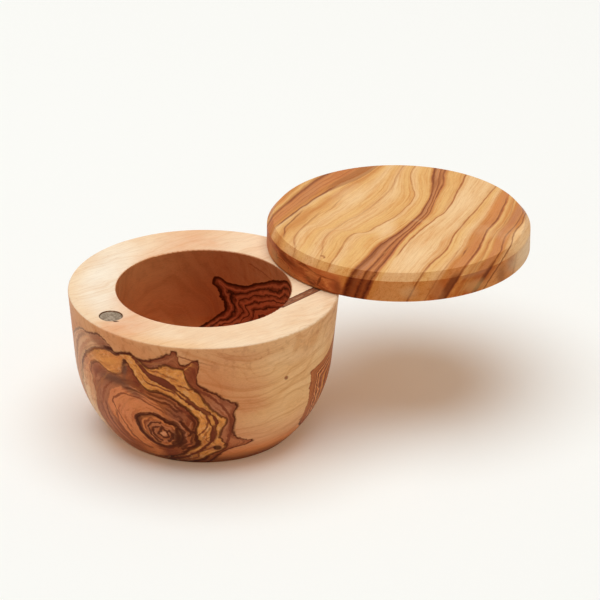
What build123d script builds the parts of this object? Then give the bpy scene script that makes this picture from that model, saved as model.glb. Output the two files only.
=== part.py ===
"""Turned wooden salt box whose flat lid swivels sideways on an upright pin in the rim.

The bowl is turned from one block, with a round cavity for the salt and a wide flat rim. A steel
pin is pressed into the underside of the lid and turns in a brass sleeve let into the rim. A thin
washer round the pin carries the lid just clear of the rim. Opposite the pin, a disc magnet in the
rim meets one in the lid and holds the box shut.

Millimetres, +Z up. The origin is the middle of the base, on the surface that the box stands on,
and +X runs from there towards the pin. The lid is drawn swung open, and shuts when it has turned
until its middle is over the bowl's middle.
"""

import os
from math import cos, radians, sin

from build123d import *

# Outside of the bowl
RIM_RADIUS = 57.0
BOWL_HEIGHT = 63.0
WALL_TAPER = 2.8  # how much the straight part of the wall draws in from rim to shoulder
SHOULDER_HEIGHT = 33.0  # where the straight wall turns into the rounded foot
BASE_RADIUS = 38.0
BASE_EASE = 1.5
RIM_EASE = 0.8

# Salt cavity
CAVITY_RADIUS = 36.9
CAVITY_DEPTH = 46.0
CAVITY_CORNER = 16.0
MOUTH_EASE = 0.6

# Lid
LID_INSET = 0.85  # how far the lid's edge stands inside the rim's edge when shut
LID_THICKNESS = 12.4
LID_GAP = 0.3  # between the rim and the lid, held open by the washer
BEVEL_RUN = 2.5
BEVEL_DROP = 3.0
BEVEL_EASE = 0.3
LID_EASE = 0.5
OPEN_ANGLE = -16.5  # from +X to the line from the pin to the lid's middle, as drawn

# Pivot in the middle of the rim's width
PIN_RADIUS = 2.5
PIN_IN_LID = 8.5
PIN_END_CLEARANCE = 1.5
PIN_CHAMFER = 0.5
RUNNING_CLEARANCE = 0.05
KNURL_COUNT = 12
KNURL_RADIUS = 0.25
SLEEVE_WALL = 1.2
SLEEVE_LENGTH = 20.0
SLEEVE_CHAMFER = 0.3
WASHER_RIM = 2.8  # width of the washer's ring outside the pin
WASHER_THICKNESS = 1.0
WASHER_CLEARANCE = 0.2

# Catch magnets
MAGNET_RADIUS = 4.75
MAGNET_THICKNESS = 3.0
MAGNET_EDGE = 0.3
POCKET_CLEARANCE = 0.2
MAGNET_SINK = 0.25  # how far a magnet's face lies below the wood round it

# Places worked out from the sizes above
shoulder_radius = RIM_RADIUS - WALL_TAPER
cavity_floor = BOWL_HEIGHT - CAVITY_DEPTH
pivot_offset = (RIM_RADIUS + CAVITY_RADIUS) / 2
washer_recess = WASHER_THICKNESS - LID_GAP
washer_bore = PIN_RADIUS + WASHER_CLEARANCE
washer_radius = PIN_RADIUS + WASHER_RIM
sleeve_bore = PIN_RADIUS + RUNNING_CLEARANCE
sleeve_radius = sleeve_bore + SLEEVE_WALL
sleeve_top = BOWL_HEIGHT - washer_recess
sleeve_bottom = sleeve_top - SLEEVE_LENGTH
pin_bottom = sleeve_bottom + PIN_END_CLEARANCE
pocket_radius = MAGNET_RADIUS + POCKET_CLEARANCE
pocket_depth = MAGNET_THICKNESS + MAGNET_SINK
lid_radius = RIM_RADIUS - LID_INSET
lid_bottom = BOWL_HEIGHT + LID_GAP
pin_top = lid_bottom + PIN_IN_LID

# Across the lid's line from the pin, its middle is one pivot offset away and its magnet two,
# so the lid shuts over the bowl's middle and the two magnets then face each other.
lid_line = (cos(radians(OPEN_ANGLE)), sin(radians(OPEN_ANGLE)))
pivot_spot = (pivot_offset, 0)
lid_middle = tuple(p + pivot_offset * step for p, step in zip(pivot_spot, lid_line))
lid_magnet_spot = tuple(p + 2 * pivot_offset * step for p, step in zip(pivot_spot, lid_line))
bowl_magnet_spot = (-pivot_offset, 0)

os.makedirs("parts", exist_ok=True)

# Bowl: the outside and the cavity in one turned profile, then the bores in its rim
with BuildPart() as bowl:
    with BuildSketch(Plane.XZ):
        with BuildLine():
            wall = Line((RIM_RADIUS, BOWL_HEIGHT), (shoulder_radius, SHOULDER_HEIGHT))
            foot = TangentArc(wall @ 1, (BASE_RADIUS, 0), tangent=wall % 1)
            corner = CenterArc(
                (CAVITY_RADIUS - CAVITY_CORNER, cavity_floor + CAVITY_CORNER), CAVITY_CORNER, 270, 90
            )
            Polyline(foot @ 1, (0, 0), (0, cavity_floor), corner @ 0)
            Polyline(corner @ 1, (CAVITY_RADIUS, BOWL_HEIGHT), wall @ 0)
        make_face()
    revolve(axis=Axis.Z)
    turned_edges = bowl.edges().filter_by(GeomType.CIRCLE).group_by(Axis.Z)
    mouth_edge, rim_edge = turned_edges[-1].sort_by(SortBy.RADIUS)
    fillet(turned_edges[0], BASE_EASE)
    fillet(mouth_edge, MOUTH_EASE)
    fillet(rim_edge, RIM_EASE)
    with BuildSketch(Plane.XY.offset(BOWL_HEIGHT)):
        with Locations(pivot_spot):
            Circle(washer_radius + WASHER_CLEARANCE)
    extrude(amount=-washer_recess, mode=Mode.SUBTRACT)
    with BuildSketch(Plane.XY.offset(sleeve_top)):
        with Locations(pivot_spot):
            Circle(sleeve_radius)
    extrude(amount=-SLEEVE_LENGTH, mode=Mode.SUBTRACT)
    with BuildSketch(Plane.XY.offset(BOWL_HEIGHT)):
        with Locations(bowl_magnet_spot):
            Circle(pocket_radius)
    extrude(amount=-pocket_depth, mode=Mode.SUBTRACT)
bowl.part.label = "bowl"
export_step(bowl.part, "parts/bowl.step")

# Lid: a flat disc with a bevelled upper edge, bored from below for the pin and its magnet
with BuildPart() as lid:
    with BuildSketch(Plane.XY.offset(lid_bottom)):
        with Locations(lid_middle):
            Circle(lid_radius)
    extrude(amount=LID_THICKNESS)
    top_face = lid.faces().sort_by(Axis.Z)[-1]
    chamfer(top_face.edges(), BEVEL_RUN, BEVEL_DROP, reference=top_face)
    bevel_edges = lid.edges().filter_by(GeomType.CIRCLE).group_by(Axis.Z)[1:]
    fillet([edge for level in bevel_edges for edge in level], BEVEL_EASE)
    fillet(lid.faces().sort_by(Axis.Z)[0].edges(), LID_EASE)
    with BuildSketch(Plane.XY.offset(lid_bottom)):
        with Locations(pivot_spot):
            Circle(PIN_RADIUS)
    extrude(amount=PIN_IN_LID, mode=Mode.SUBTRACT)
    with BuildSketch(Plane.XY.offset(lid_bottom)):
        with Locations(lid_magnet_spot):
            Circle(pocket_radius)
    extrude(amount=pocket_depth, mode=Mode.SUBTRACT)
lid.part.label = "lid"
export_step(lid.part, "parts/lid.step")

# Pivot pin: a steel dowel, smooth where it turns and knurled where it is pressed into the lid
with BuildPart() as pivot_pin:
    with BuildSketch(Plane.XY.offset(pin_bottom)):
        with Locations(pivot_spot):
            Circle(PIN_RADIUS)
    extrude(amount=pin_top - pin_bottom)
    chamfer(pivot_pin.edges().filter_by(GeomType.CIRCLE), PIN_CHAMFER)
    with BuildSketch(Plane.XY.offset(lid_bottom)):
        with Locations(pivot_spot):
            with PolarLocations(PIN_RADIUS, KNURL_COUNT):
                Circle(KNURL_RADIUS)
    extrude(amount=PIN_IN_LID, mode=Mode.SUBTRACT)
pivot_pin.part.label = "pivot_pin"
export_step(pivot_pin.part, "parts/pivot_pin.step")

# Pivot sleeve: the brass tube that lines the rim's bore
with BuildPart() as pivot_sleeve:
    with BuildSketch(Plane.XY.offset(sleeve_bottom)):
        with Locations(pivot_spot):
            Circle(sleeve_radius)
            Circle(sleeve_bore, mode=Mode.SUBTRACT)
    extrude(amount=SLEEVE_LENGTH)
    sleeve_edges = pivot_sleeve.edges().filter_by(GeomType.CIRCLE).group_by(Axis.Z)
    bore_edge, outer_edge = sleeve_edges[-1].sort_by(SortBy.RADIUS)
    chamfer(bore_edge, SLEEVE_CHAMFER)
pivot_sleeve.part.label = "pivot_sleeve"
export_step(pivot_sleeve.part, "parts/pivot_sleeve.step")

# Thrust washer: let into the rim round the pin, standing just proud to carry the lid
with BuildPart() as thrust_washer:
    with BuildSketch(Plane.XY.offset(sleeve_top)):
        with Locations(pivot_spot):
            Circle(washer_radius)
            Circle(washer_bore, mode=Mode.SUBTRACT)
    extrude(amount=WASHER_THICKNESS)
thrust_washer.part.label = "thrust_washer"
export_step(thrust_washer.part, "parts/thrust_washer.step")

# Magnets: plated discs with eased edges, each seated on the floor of its pocket
with BuildPart() as bowl_magnet:
    with BuildSketch(Plane.XY.offset(BOWL_HEIGHT - pocket_depth)):
        with Locations(bowl_magnet_spot):
            Circle(MAGNET_RADIUS)
    extrude(amount=MAGNET_THICKNESS)
    fillet(bowl_magnet.edges().filter_by(GeomType.CIRCLE), MAGNET_EDGE)
bowl_magnet.part.label = "bowl_magnet"
export_step(bowl_magnet.part, "parts/bowl_magnet.step")

with BuildPart() as lid_magnet:
    with BuildSketch(Plane.XY.offset(lid_bottom + MAGNET_SINK)):
        with Locations(lid_magnet_spot):
            Circle(MAGNET_RADIUS)
    extrude(amount=MAGNET_THICKNESS)
    fillet(lid_magnet.edges().filter_by(GeomType.CIRCLE), MAGNET_EDGE)
lid_magnet.part.label = "lid_magnet"
export_step(lid_magnet.part, "parts/lid_magnet.step")
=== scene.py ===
"""Visual model of a turned olive-wood salt box whose flat lid swivels on an upright pin.

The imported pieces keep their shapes. The bowl and the lid get solid wood figures, worked out in
three dimensions so that a streak runs on from the top down the side and through to the inside,
and the pin, sleeve, washer and magnets get worn metal and plastic finishes. Sizes are in metres in
the frame, and in millimetres inside the wood's own figures.
"""

import logging
import math
from dataclasses import dataclass, field
from enum import Enum
from typing import Union

import bpy
from mathutils import Matrix, Vector

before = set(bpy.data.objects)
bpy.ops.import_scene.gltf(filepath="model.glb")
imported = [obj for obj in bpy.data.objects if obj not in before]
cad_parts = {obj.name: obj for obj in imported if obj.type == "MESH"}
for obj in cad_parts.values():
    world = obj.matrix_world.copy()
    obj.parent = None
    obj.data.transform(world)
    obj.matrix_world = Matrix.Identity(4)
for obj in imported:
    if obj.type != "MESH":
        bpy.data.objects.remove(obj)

LOG = logging.getLogger("salt_box")

Point = tuple[float, float]
Triple = tuple[float, float, float]
Stop = tuple[float, Triple]
Number = Union["Value", float]
Socket = bpy.types.NodeSocket
Material = bpy.types.Material

MILLIMETRES = 1000.0
TURN = 360.0
EAST = (1.0, 0.0, 0.0)
NORTH = (0.0, 1.0, 0.0)
UP = (0.0, 0.0, 1.0)

# Spans that the curves are read over: a share, a turn round the knot's eye in degrees, a distance
# from it in millimetres, and the lid's width in millimetres
UNIT = (0.0, 1.0)
ROUND = (-90.0, 270.0)
FAR = (0.0, 60.0)
ACROSS = (-60.0, 60.0)


class Bend(Enum):
    """How a curve passes through its points."""

    SHARP = "VECTOR"
    SOFT = "AUTO_CLAMPED"


class Blend(Enum):
    """How one colour is laid over another."""

    COVER = "MIX"
    STAIN = "MULTIPLY"


class Value:
    """A number socket, with arithmetic that adds Math nodes."""

    def __init__(self, graph: "Graph", socket: Socket) -> None:
        """Keeps the socket and the graph that it belongs to."""
        self.graph = graph
        self.socket = socket

    def __add__(self, other: Number) -> "Value":
        """Adds a number or another value."""
        return self.graph.math("ADD", self, other)

    def __sub__(self, other: Number) -> "Value":
        """Takes a number or another value away."""
        return self.graph.math("SUBTRACT", self, other)

    def __rsub__(self, other: Number) -> "Value":
        """Takes this value away from a number."""
        return self.graph.math("SUBTRACT", other, self)

    def __mul__(self, other: Number) -> "Value":
        """Multiplies by a number or another value."""
        return self.graph.math("MULTIPLY", self, other)

    def __truediv__(self, other: Number) -> "Value":
        """Divides by a number or another value."""
        return self.graph.math("DIVIDE", self, other)

    def __neg__(self) -> "Value":
        """Changes the sign."""
        return self.graph.math("MULTIPLY", self, -1.0)

    def __abs__(self) -> "Value":
        """Drops the sign."""
        return self.graph.math("ABSOLUTE", self)

    __radd__ = __add__
    __rmul__ = __mul__


class Graph:
    """The node tree of one material or of the world."""

    def __init__(self, owner: Material | bpy.types.World) -> None:
        """Empties the owner's node tree.

        Args:
            owner: What the tree belongs to.
        """
        owner.use_nodes = True
        self.owner = owner
        self.tree = owner.node_tree
        self.tree.nodes.clear()
        self.placed: dict[tuple, Value] = {}

    @classmethod
    def finish(cls, name: str) -> "Graph":
        """Starts a new material's tree."""
        return cls(bpy.data.materials.new(name))

    def node(self, kind: str, settings: dict | None = None, inputs: dict | None = None) -> bpy.types.Node:
        """Adds one node, sets its settings first and then its sockets.

        Args:
            kind: The node's type.
            settings: The node's own settings, with a ramp's stops or a curve's points among them.
            inputs: A value, a link or a plain number for each named or numbered socket.

        Returns:
            The new node.
        """
        made = self.tree.nodes.new(kind)
        for key, value in (settings or {}).items():
            if key == "stops":
                fill_ramp(made.color_ramp, value)
            elif key == "points":
                fill_curve(made.mapping, *value)
            else:
                setattr(made, key, value)
        for key, value in (inputs or {}).items():
            source = value.socket if isinstance(value, Value) else value
            if isinstance(source, Socket):
                self.tree.links.new(source, made.inputs[key])
            else:
                made.inputs[key].default_value = source
        return made

    def math(self, operation: str, *values: Number, clamp: bool = False) -> Value:
        """Adds a Math node.

        Args:
            operation: The node's operation.
            values: One to three values.
            clamp: Whether the result is held between 0 and 1.

        Returns:
            The node's result.
        """
        settings = {"operation": operation, "use_clamp": clamp}
        made = self.node("ShaderNodeMath", settings, dict(enumerate(values)))
        return Value(self, made.outputs[0])

    def vector_math(self, operation: str, inputs: dict) -> bpy.types.Node:
        """Adds a Vector Math node."""
        return self.node("ShaderNodeVectorMath", {"operation": operation}, inputs)

    def position(self) -> Socket:
        """Gives the point in the frame, in millimetres."""
        metres = self.node("ShaderNodeTexCoord").outputs["Object"]
        return self.vector_math("SCALE", {0: metres, "Scale": MILLIMETRES}).outputs[0]

    def dot(self, vector: Socket, direction: Triple) -> Value:
        """Gives how far a vector reaches along a direction."""
        return Value(self, self.vector_math("DOT_PRODUCT", {0: vector, 1: direction}).outputs["Value"])

    def toward(self, vector: Socket, right: float, away: float) -> Value:
        """Gives how far a vector reaches along a level direction of the photograph."""
        return self.dot(vector, tuple(seen(right, away)))

    def vector(self, x: Number, y: Number, z: Number) -> Socket:
        """Joins three numbers into a vector."""
        return self.node("ShaderNodeCombineXYZ", None, {0: x, 1: y, 2: z}).outputs[0]

    def noise(self, vector: Socket, scale: float, detail: float = 2.0, rough: float = 0.5) -> Value:
        """Gives a cloudy value of about 0 to 1 with its middle at 0.5.

        Args:
            vector: Where the noise is read.
            scale: Clouds to one unit of the vector.
            detail: Octaves.
            rough: How strong each octave is beside the one before.

        Returns:
            The noise.
        """
        inputs = {"Vector": vector, "Scale": scale, "Detail": detail, "Roughness": rough}
        made = self.node("ShaderNodeTexNoise", {"noise_dimensions": "3D"}, inputs)
        return Value(self, made.outputs[0])

    def stir(self, vector: Socket, scale: float, detail: float = 2.0, rough: float = 0.5) -> Value:
        """Gives the same noise with its middle at 0."""
        return self.noise(vector, scale, detail, rough) - 0.5

    def between(self, value: Number, low: Number, high: Number) -> Value:
        """Gives 0 at low and 1 at high, in a straight line, and is held there outside."""
        if isinstance(low, Value) or isinstance(high, Value):
            return self.math("DIVIDE", value - low, high - low, clamp=True)
        wide = high - low
        return self.math("MULTIPLY_ADD", value, 1.0 / wide, -low / wide, clamp=True)

    def step(self, value: Number, low: float, high: float, start: float, end: float) -> Value:
        """Goes from start at low to end at high along a smooth step."""
        settings = {"interpolation_type": "SMOOTHSTEP"}
        inputs = {0: value, 1: low, 2: high, 3: start, 4: end}
        return Value(self, self.node("ShaderNodeMapRange", settings, inputs).outputs[0])

    def ease(self, value: Number, low: float, high: float, full: float = 1.0) -> Value:
        """Gives 0 at low and its full height at high along a smooth step."""
        return self.step(value, low, high, 0.0, full)

    def fade(self, value: Number, low: float, high: float, full: float = 1.0) -> Value:
        """Gives its full height at low and 0 at high along a smooth step."""
        return self.step(value, low, high, full, 0.0)

    def least(self, first: Number, second: Number) -> Value:
        """Gives the smaller of two values."""
        return self.math("MINIMUM", first, second)

    def most(self, first: Number, second: Number) -> Value:
        """Gives the larger of two values."""
        return self.math("MAXIMUM", first, second)

    def length(self, first: Value, second: Value) -> Value:
        """Gives the length of two lengths at a right angle."""
        return self.math("SQRT", first * first + second * second)

    def curve(
        self, value: Number, points: list[Point], span: Point, reach: Point, bend: Bend = Bend.SOFT
    ) -> Value:
        """Reads a drawn curve.

        Args:
            value: Where the curve is read.
            points: The points that the curve passes through.
            span: The lowest and highest place that can be read.
            reach: The lowest and highest height that a point may have.
            bend: Whether the curve turns sharply or softly at its points.

        Returns:
            The curve's height.
        """
        wide = span[1] - span[0]
        tall = reach[1] - reach[0]
        scaled = [((x - span[0]) / wide, (y - reach[0]) / tall) for x, y in points]
        key = (value.socket.node.name, value.socket.identifier, span)
        if key not in self.placed:
            self.placed[key] = self.math("MULTIPLY_ADD", value, 1.0 / wide, -span[0] / wide)
        made = self.node("ShaderNodeFloatCurve", {"points": (scaled, bend)}, {"Value": self.placed[key]})
        height = Value(self, made.outputs[0])
        return height if reach == UNIT else self.math("MULTIPLY_ADD", height, tall, reach[0])

    def ramp(self, value: Number, stops: list[Stop], span: Point) -> Socket:
        """Reads a colour off a row of stops.

        Args:
            value: Where the row is read.
            stops: Places and their linear colours.
            span: The place of the row's start and end.

        Returns:
            The colour.
        """
        wide = span[1] - span[0]
        scaled = [((place - span[0]) / wide, colour) for place, colour in stops]
        made = self.node("ShaderNodeValToRGB", {"stops": scaled}, {"Fac": (value - span[0]) / wide})
        return made.outputs["Color"]

    def mix(self, share: Number, under: object, over: object, blend: Blend = Blend.COVER) -> Socket:
        """Lays one colour over another.

        Args:
            share: How much of the upper colour shows.
            under: The colour below.
            over: The colour above.
            blend: How the two are put together.

        Returns:
            The colour.
        """
        settings = {"data_type": "RGBA", "blend_type": blend.value, "clamp_factor": True}
        colours = [tuple(c) + (1.0,) if isinstance(c, tuple) else c for c in (under, over)]
        made = self.node("ShaderNodeMix", settings, {0: share, 6: colours[0], 7: colours[1]})
        return made.outputs[2]

    def stain(self, share: Number, under: object, tint: object) -> Socket:
        """Multiplies a tint into a colour."""
        return self.mix(share, under, tint, Blend.STAIN)

    def facing(self) -> Value:
        """Gives how far the surface faces up or down: 1 on top or underneath and 0 on a wall."""
        normal = self.node("ShaderNodeTexCoord").outputs["Normal"]
        return abs(self.dot(normal, UP))

    def bump(self, height: Value, depth: float, strength: float = 1.0) -> Socket:
        """Turns a height into a normal.

        Args:
            height: The height, from 0 to 1.
            depth: The height's full size in metres.
            strength: How much of it shows.

        Returns:
            The normal.
        """
        inputs = {"Height": height, "Distance": depth, "Strength": strength}
        return self.node("ShaderNodeBump", None, inputs).outputs[0]

    def surface(self, **sockets: object) -> Material:
        """Ends the tree in a Principled shader.

        Args:
            sockets: The shader's sockets, with an underscore for each space in a name.

        Returns:
            The finished material.
        """
        inputs = {key.replace("_", " "): value for key, value in sockets.items()}
        shader = self.node("ShaderNodeBsdfPrincipled", None, inputs)
        self.node("ShaderNodeOutputMaterial", None, {"Surface": shader.outputs[0]})
        return self.owner


def fill_ramp(ramp: bpy.types.ColorRamp, stops: list[Stop]) -> None:
    """Puts stops on a colour ramp.

    Args:
        ramp: A new ramp.
        stops: Places from 0 to 1 and their linear colours.
    """
    while len(ramp.elements) < len(stops):
        ramp.elements.new(1.0)
    for element, (place, colour) in zip(ramp.elements, sorted(stops)):
        element.position = place
        element.color = (*colour, 1.0)


def fill_curve(mapping: bpy.types.CurveMapping, points: list[Point], bend: Bend) -> None:
    """Puts points on a curve.

    Args:
        mapping: A new curve mapping.
        points: Places and heights from 0 to 1.
        bend: How the curve turns at its points.
    """
    mapping.extend = "HORIZONTAL"
    drawn = mapping.curves[0].points
    for _ in range(len(points) - len(drawn)):
        drawn.new(0.5, 0.5)
    for made, spot in zip(drawn, sorted(points)):
        made.location = spot
        made.handle_type = bend.value
    mapping.update()


def shade(colour: Triple, factor: float) -> Triple:
    """Multiplies a colour by a number."""
    return tuple(part * factor for part in colour)


# Directions in the frame: to the right in the photograph, and away from the viewer
VIEW_TURN = math.radians(-36.0)
VIEW_RIGHT = Vector((math.cos(VIEW_TURN), math.sin(VIEW_TURN), 0.0))
VIEW_AWAY = Vector((-math.sin(VIEW_TURN), math.cos(VIEW_TURN), 0.0))


def seen(right: float, away: float, up: float = 0.0) -> Vector:
    """Turns a direction given as right, away and up in the photograph into the frame."""
    return VIEW_RIGHT * right + VIEW_AWAY * away + Vector((0.0, 0.0, up))


@dataclass(frozen=True)
class Patch:
    """A soft oval of colour in a figure: its place and reach both ways, lean, edge and strength."""

    right: float
    height: float
    wide: float
    tall: float
    lean: float
    soft: float
    colour: str
    strength: float


@dataclass(frozen=True)
class OiledWood:
    """Fine texture and sheen that both turned pieces share."""

    fibre_across: float = 3.1
    fibre_along: float = 0.11
    pore_across: float = 5.2
    pore_along: float = 0.55
    roughness: float = 0.4
    fibre_depth: float = 0.00006
    fibre_tint: Triple = (0.66, 0.52, 0.42)
    pore_tint: Triple = (0.45, 0.3, 0.2)

    def fibres(self, graph: Graph, across: Value, along: Value, depth: Value) -> Value:
        """Gives fine fibres that run with the grain."""
        wide = self.fibre_across
        place = graph.vector(across * wide, along * self.fibre_along, depth * wide)
        return graph.noise(place, 1.0, 3.0, 0.62)

    def pores(self, graph: Graph, across: Value, along: Value, depth: Value) -> Value:
        """Gives short dark pores that lie with the grain."""
        wide = self.pore_across
        place = graph.vector(across * wide, along * self.pore_along, depth * wide)
        return graph.ease(graph.noise(place, 1.0, 1.0, 0.5), 0.66, 0.8)

    def ovals(
        self, graph: Graph, colour: object, patches: list[Patch], place: Socket, ragged: Value
    ) -> Socket:
        """Lays soft ovals of colour over a figure.

        Args:
            graph: The wood's graph.
            colour: The colour below.
            patches: The ovals.
            place: The vector whose first two parts the ovals are placed in.
            ragged: How much their edges stray.

        Returns:
            The colour.
        """
        stray = ragged * 0.5
        for patch in patches:
            inputs = {
                "Vector": place, "Location": (patch.right, patch.height, 0.0),
                "Rotation": (0.0, 0.0, math.radians(patch.lean)),
                "Scale": (patch.wide * 2, patch.tall * 2, 1.0),
            }
            moved = graph.node("ShaderNodeMapping", {"vector_type": "TEXTURE"}, inputs).outputs[0]
            ball = graph.node("ShaderNodeTexGradient", {"gradient_type": "SPHERICAL"}, {0: moved})
            near = Value(graph, ball.outputs["Fac"]) - stray
            share = graph.fade(near, 0.5 + patch.soft * 0.5, 0.5 - patch.soft * 0.3, patch.strength)
            colour = graph.mix(share, colour, getattr(self, patch.colour))
        return colour

    def dressing(
        self, graph: Graph, colour: object, fibres: Value, pores: Value, dark: Number = 0.0
    ) -> Material:
        """Ends a wood's tree.

        Args:
            graph: The wood's graph.
            colour: Its colour.
            fibres: Its fibres.
            pores: Its pores.
            dark: How much dark heartwood there is, from 0 to 1, which is denser and shines more.

        Returns:
            The finished material.
        """
        tinted = graph.stain(graph.ease(fibres, 0.36, 0.72, 0.3), colour, self.fibre_tint)
        pored = graph.stain(pores * 0.4, tinted, self.pore_tint)
        rough = self.roughness + (fibres - 0.5) * 0.16 + pores * 0.12 - dark * 0.05
        normal = graph.bump(fibres * 0.8 - pores, self.fibre_depth, 0.6)
        return graph.surface(Base_Color=pored, Roughness=rough, Normal=normal, Specular_IOR_Level=0.06)


# The knot on the bowl's side: angle round its eye in degrees, from the right and turning up, and
# the distance of each contour from the eye in millimetres
EYE_EDGE = [
    (0, 8.8), (30, 8.5), (45, 8.3), (60, 7.4), (75, 7.1), (90, 8), (100, 9), (115, 10.2), (135, 11.6),
    (148, 12.8), (155, 12.9), (165, 11.8), (180, 10.6), (210, 9.1), (225, 8.6), (270, 8.8), (300, 8.6),
    (330, 9),
]
DARK_START = [
    (0, 10), (20, 10.2), (45, 9.9), (62, 9.8), (75, 10), (85, 12), (92, 14), (100, 16), (108, 18.5),
    (115, 20.5), (121, 23.5), (128, 25.8), (137, 26.8), (150, 27.6), (160, 27.4), (170, 25), (180, 21.5),
    (195, 18.5), (210, 16.8), (225, 14.6), (240, 12.6), (255, 11.6), (270, 10.9), (300, 10.2),
]
GOLD_START = [
    (0, 14), (12, 14.3), (20, 15.6), (28, 17), (40, 17.3), (52, 18), (62, 18.2), (72, 18.8), (82, 19.6),
    (92, 20.4), (103, 21), (108, 22.3), (111, 25), (113, 30), (115, 34.5), (117, 36.2), (119, 34.5),
    (121.5, 32.3), (125, 31.4), (131, 31.8), (135, 33.5), (138, 37.5), (141, 40.2), (147, 41.2),
    (151, 40.2), (155, 37.5), (162, 35), (170, 33.2), (180, 33.3), (190, 32), (200, 30.3), (210, 28),
    (225, 24), (240, 20), (255, 17), (270, 15), (285, 14), (315, 13.6), (330, 14.6), (340, 15.3),
]
GOLD_LINE = [
    (0, 20.8), (6, 21.1), (12, 21.7), (16, 22.3), (22, 22.6), (30, 22.7), (38, 22.2), (46, 21.2),
    (54, 21.3), (62, 22), (70, 22.6), (76, 24), (84, 25.3), (92, 26.6), (98, 27.6), (101, 29.4),
    (104.5, 32), (107, 34.2), (110, 36.8), (114, 37.8), (118, 38.3), (122, 37), (128, 36.8), (134, 38.5),
    (140, 42.5), (148, 43.3), (155, 41.5), (165, 38), (180, 36.2), (200, 33), (215, 28.5), (240, 22),
    (255, 19), (270, 17), (285, 16), (300, 16), (315, 16.3), (330, 17.3), (340, 18), (352, 20),
]
BAND_START = [
    (0, 23.2), (5, 23.9), (10, 24.8), (14, 26.6), (18, 27.3), (22, 26.8), (28, 25.7), (36, 25.2),
    (44, 25.6), (50, 26.4), (57, 27.2), (62, 27.8), (67, 29.4), (71, 32), (74, 34.2), (80, 34), (85, 34.3),
    (90, 33), (96, 32), (101, 32.4), (104, 34.2), (107, 36.4), (110, 38), (115, 39), (120, 39), (124, 41.2),
    (130, 43.6), (136, 45.2), (143, 46), (150, 45.6), (158, 44.2), (170, 41.5), (185, 39.5), (200, 37.5),
    (215, 33), (235, 27), (255, 22), (285, 19.5), (305, 20.4), (315, 20.9), (325, 21.3), (332, 22.4),
    (338, 24.3), (344, 25.2), (351, 24),
]
HEART_EDGE = [
    (0, 28), (6, 28.3), (12, 29.6), (18, 30.6), (22, 31.3), (27, 33.8), (31, 32.6), (36, 31.7), (43, 31),
    (50, 30.1), (56, 29.8), (60, 30.8), (62.5, 34), (64.5, 37.5), (66, 40.3), (67.5, 40.3), (69.5, 38.4),
    (72, 36.9), (75, 36.2), (77.2, 37.2), (79.5, 41.5), (81.3, 42.3), (83, 40.8), (85.5, 39), (89, 37.3),
    (94, 36), (100, 35.2), (105, 35.7), (108, 37.6), (111, 39.1), (120.2, 39.8), (122, 42.5), (124, 46.2),
    (127, 49.6), (133, 51.3), (140, 55), (147, 55.2), (157, 52), (170, 50), (185, 48.5), (200, 45),
    (215, 41), (235, 34), (255, 27), (270, 25), (290, 24), (315, 23.8), (325, 23.7), (331, 24.3),
    (337, 25.6), (342, 28), (345.5, 31), (348.5, 33.4), (350.5, 34.3), (352.5, 32), (355.5, 29.3),
]
CONTOURS = [EYE_EDGE, DARK_START, GOLD_START, GOLD_LINE, BAND_START, HEART_EDGE]

# Half the width of the dark stripe that follows the gold line
STRIPE_WIDTH = [
    (-90, 0.3), (-14, 0.3), (-6, 0.6), (0, 0.95), (12, 0.8), (16, 1.3), (22, 1.7), (26, 1.45), (31, 1.1),
    (42, 1), (47, 0.75), (54, 0.75), (60, 0.9), (70, 0.9), (74, 1.2), (80, 1.6), (90, 1.75), (96, 1.5),
    (101, 1.5), (106, 1.6), (109, 0.4), (112, -0.6), (270, -0.6),
]

# The dark line along each contour that has one: half its width, and its strength over the angle
CONTOUR_LINES = {
    0: (0.6, [(-90, 0.8), (20, 0.6), (60, 0.9), (200, 0.95), (270, 0.8)]),
    2: (0.35, [
        (-90, 0.9), (100, 0.9), (116, 0.8), (122, 0.3), (140, 0.6), (160, 0.2), (180, 0.1), (270, 0.5),
    ]),
    3: (0.2, [(-90, 0.3), (0, 0.3), (104, 0.3), (112, 0), (270, 0)]),
    4: (0.3, [(-90, 0.8), (100, 0.8), (118, 0.9), (145, 0.35), (165, 0.1), (270, 0.3)]),
    5: (0.25, [(-90, 0.9), (100, 0.9), (125, 0.8), (140, 0.5), (165, 0.25), (200, 0.4), (270, 0.8)]),
}
STRIPED = 3  # the contour whose line runs along both sides of the dark stripe

# How much wider than drawn a ring is on each side: a dark one, and any other
DARK_SPREAD = 0.25
SPREAD = 0.1


def closed(points: list[Point]) -> list[Point]:
    """Turns a contour so that it starts and ends straight below the eye.

    Args:
        points: Angles from 0 to 360 degrees, and distances.

    Returns:
        The same contour over -90 to 270 degrees, with a point at both ends.
    """
    low, high = ROUND
    turned = sorted(((angle - low) % TURN + low, far) for angle, far in points)
    first, last = turned[0], turned[-1]
    share = (high - last[0]) / (first[0] + TURN - last[0])
    below = last[1] * (1.0 - share) + first[1] * share
    ends = [] if share == 1.0 else [(low, below)]
    return [*ends, *turned, (high, below)]


class Ink(Enum):
    """What a ring of the knot is drawn in, from the lowest layer to the top one."""

    PURPLE = 0
    GOLD = 1
    PINK = 2
    BROWN = 3
    DARK = 4


@dataclass(frozen=True)
class Ring:
    """A line round the knot's eye: its angles and distances, half width, soft edge and strength."""

    ink: Ink
    flat: float
    soft: float
    strength: float
    points: list[Point]


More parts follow.
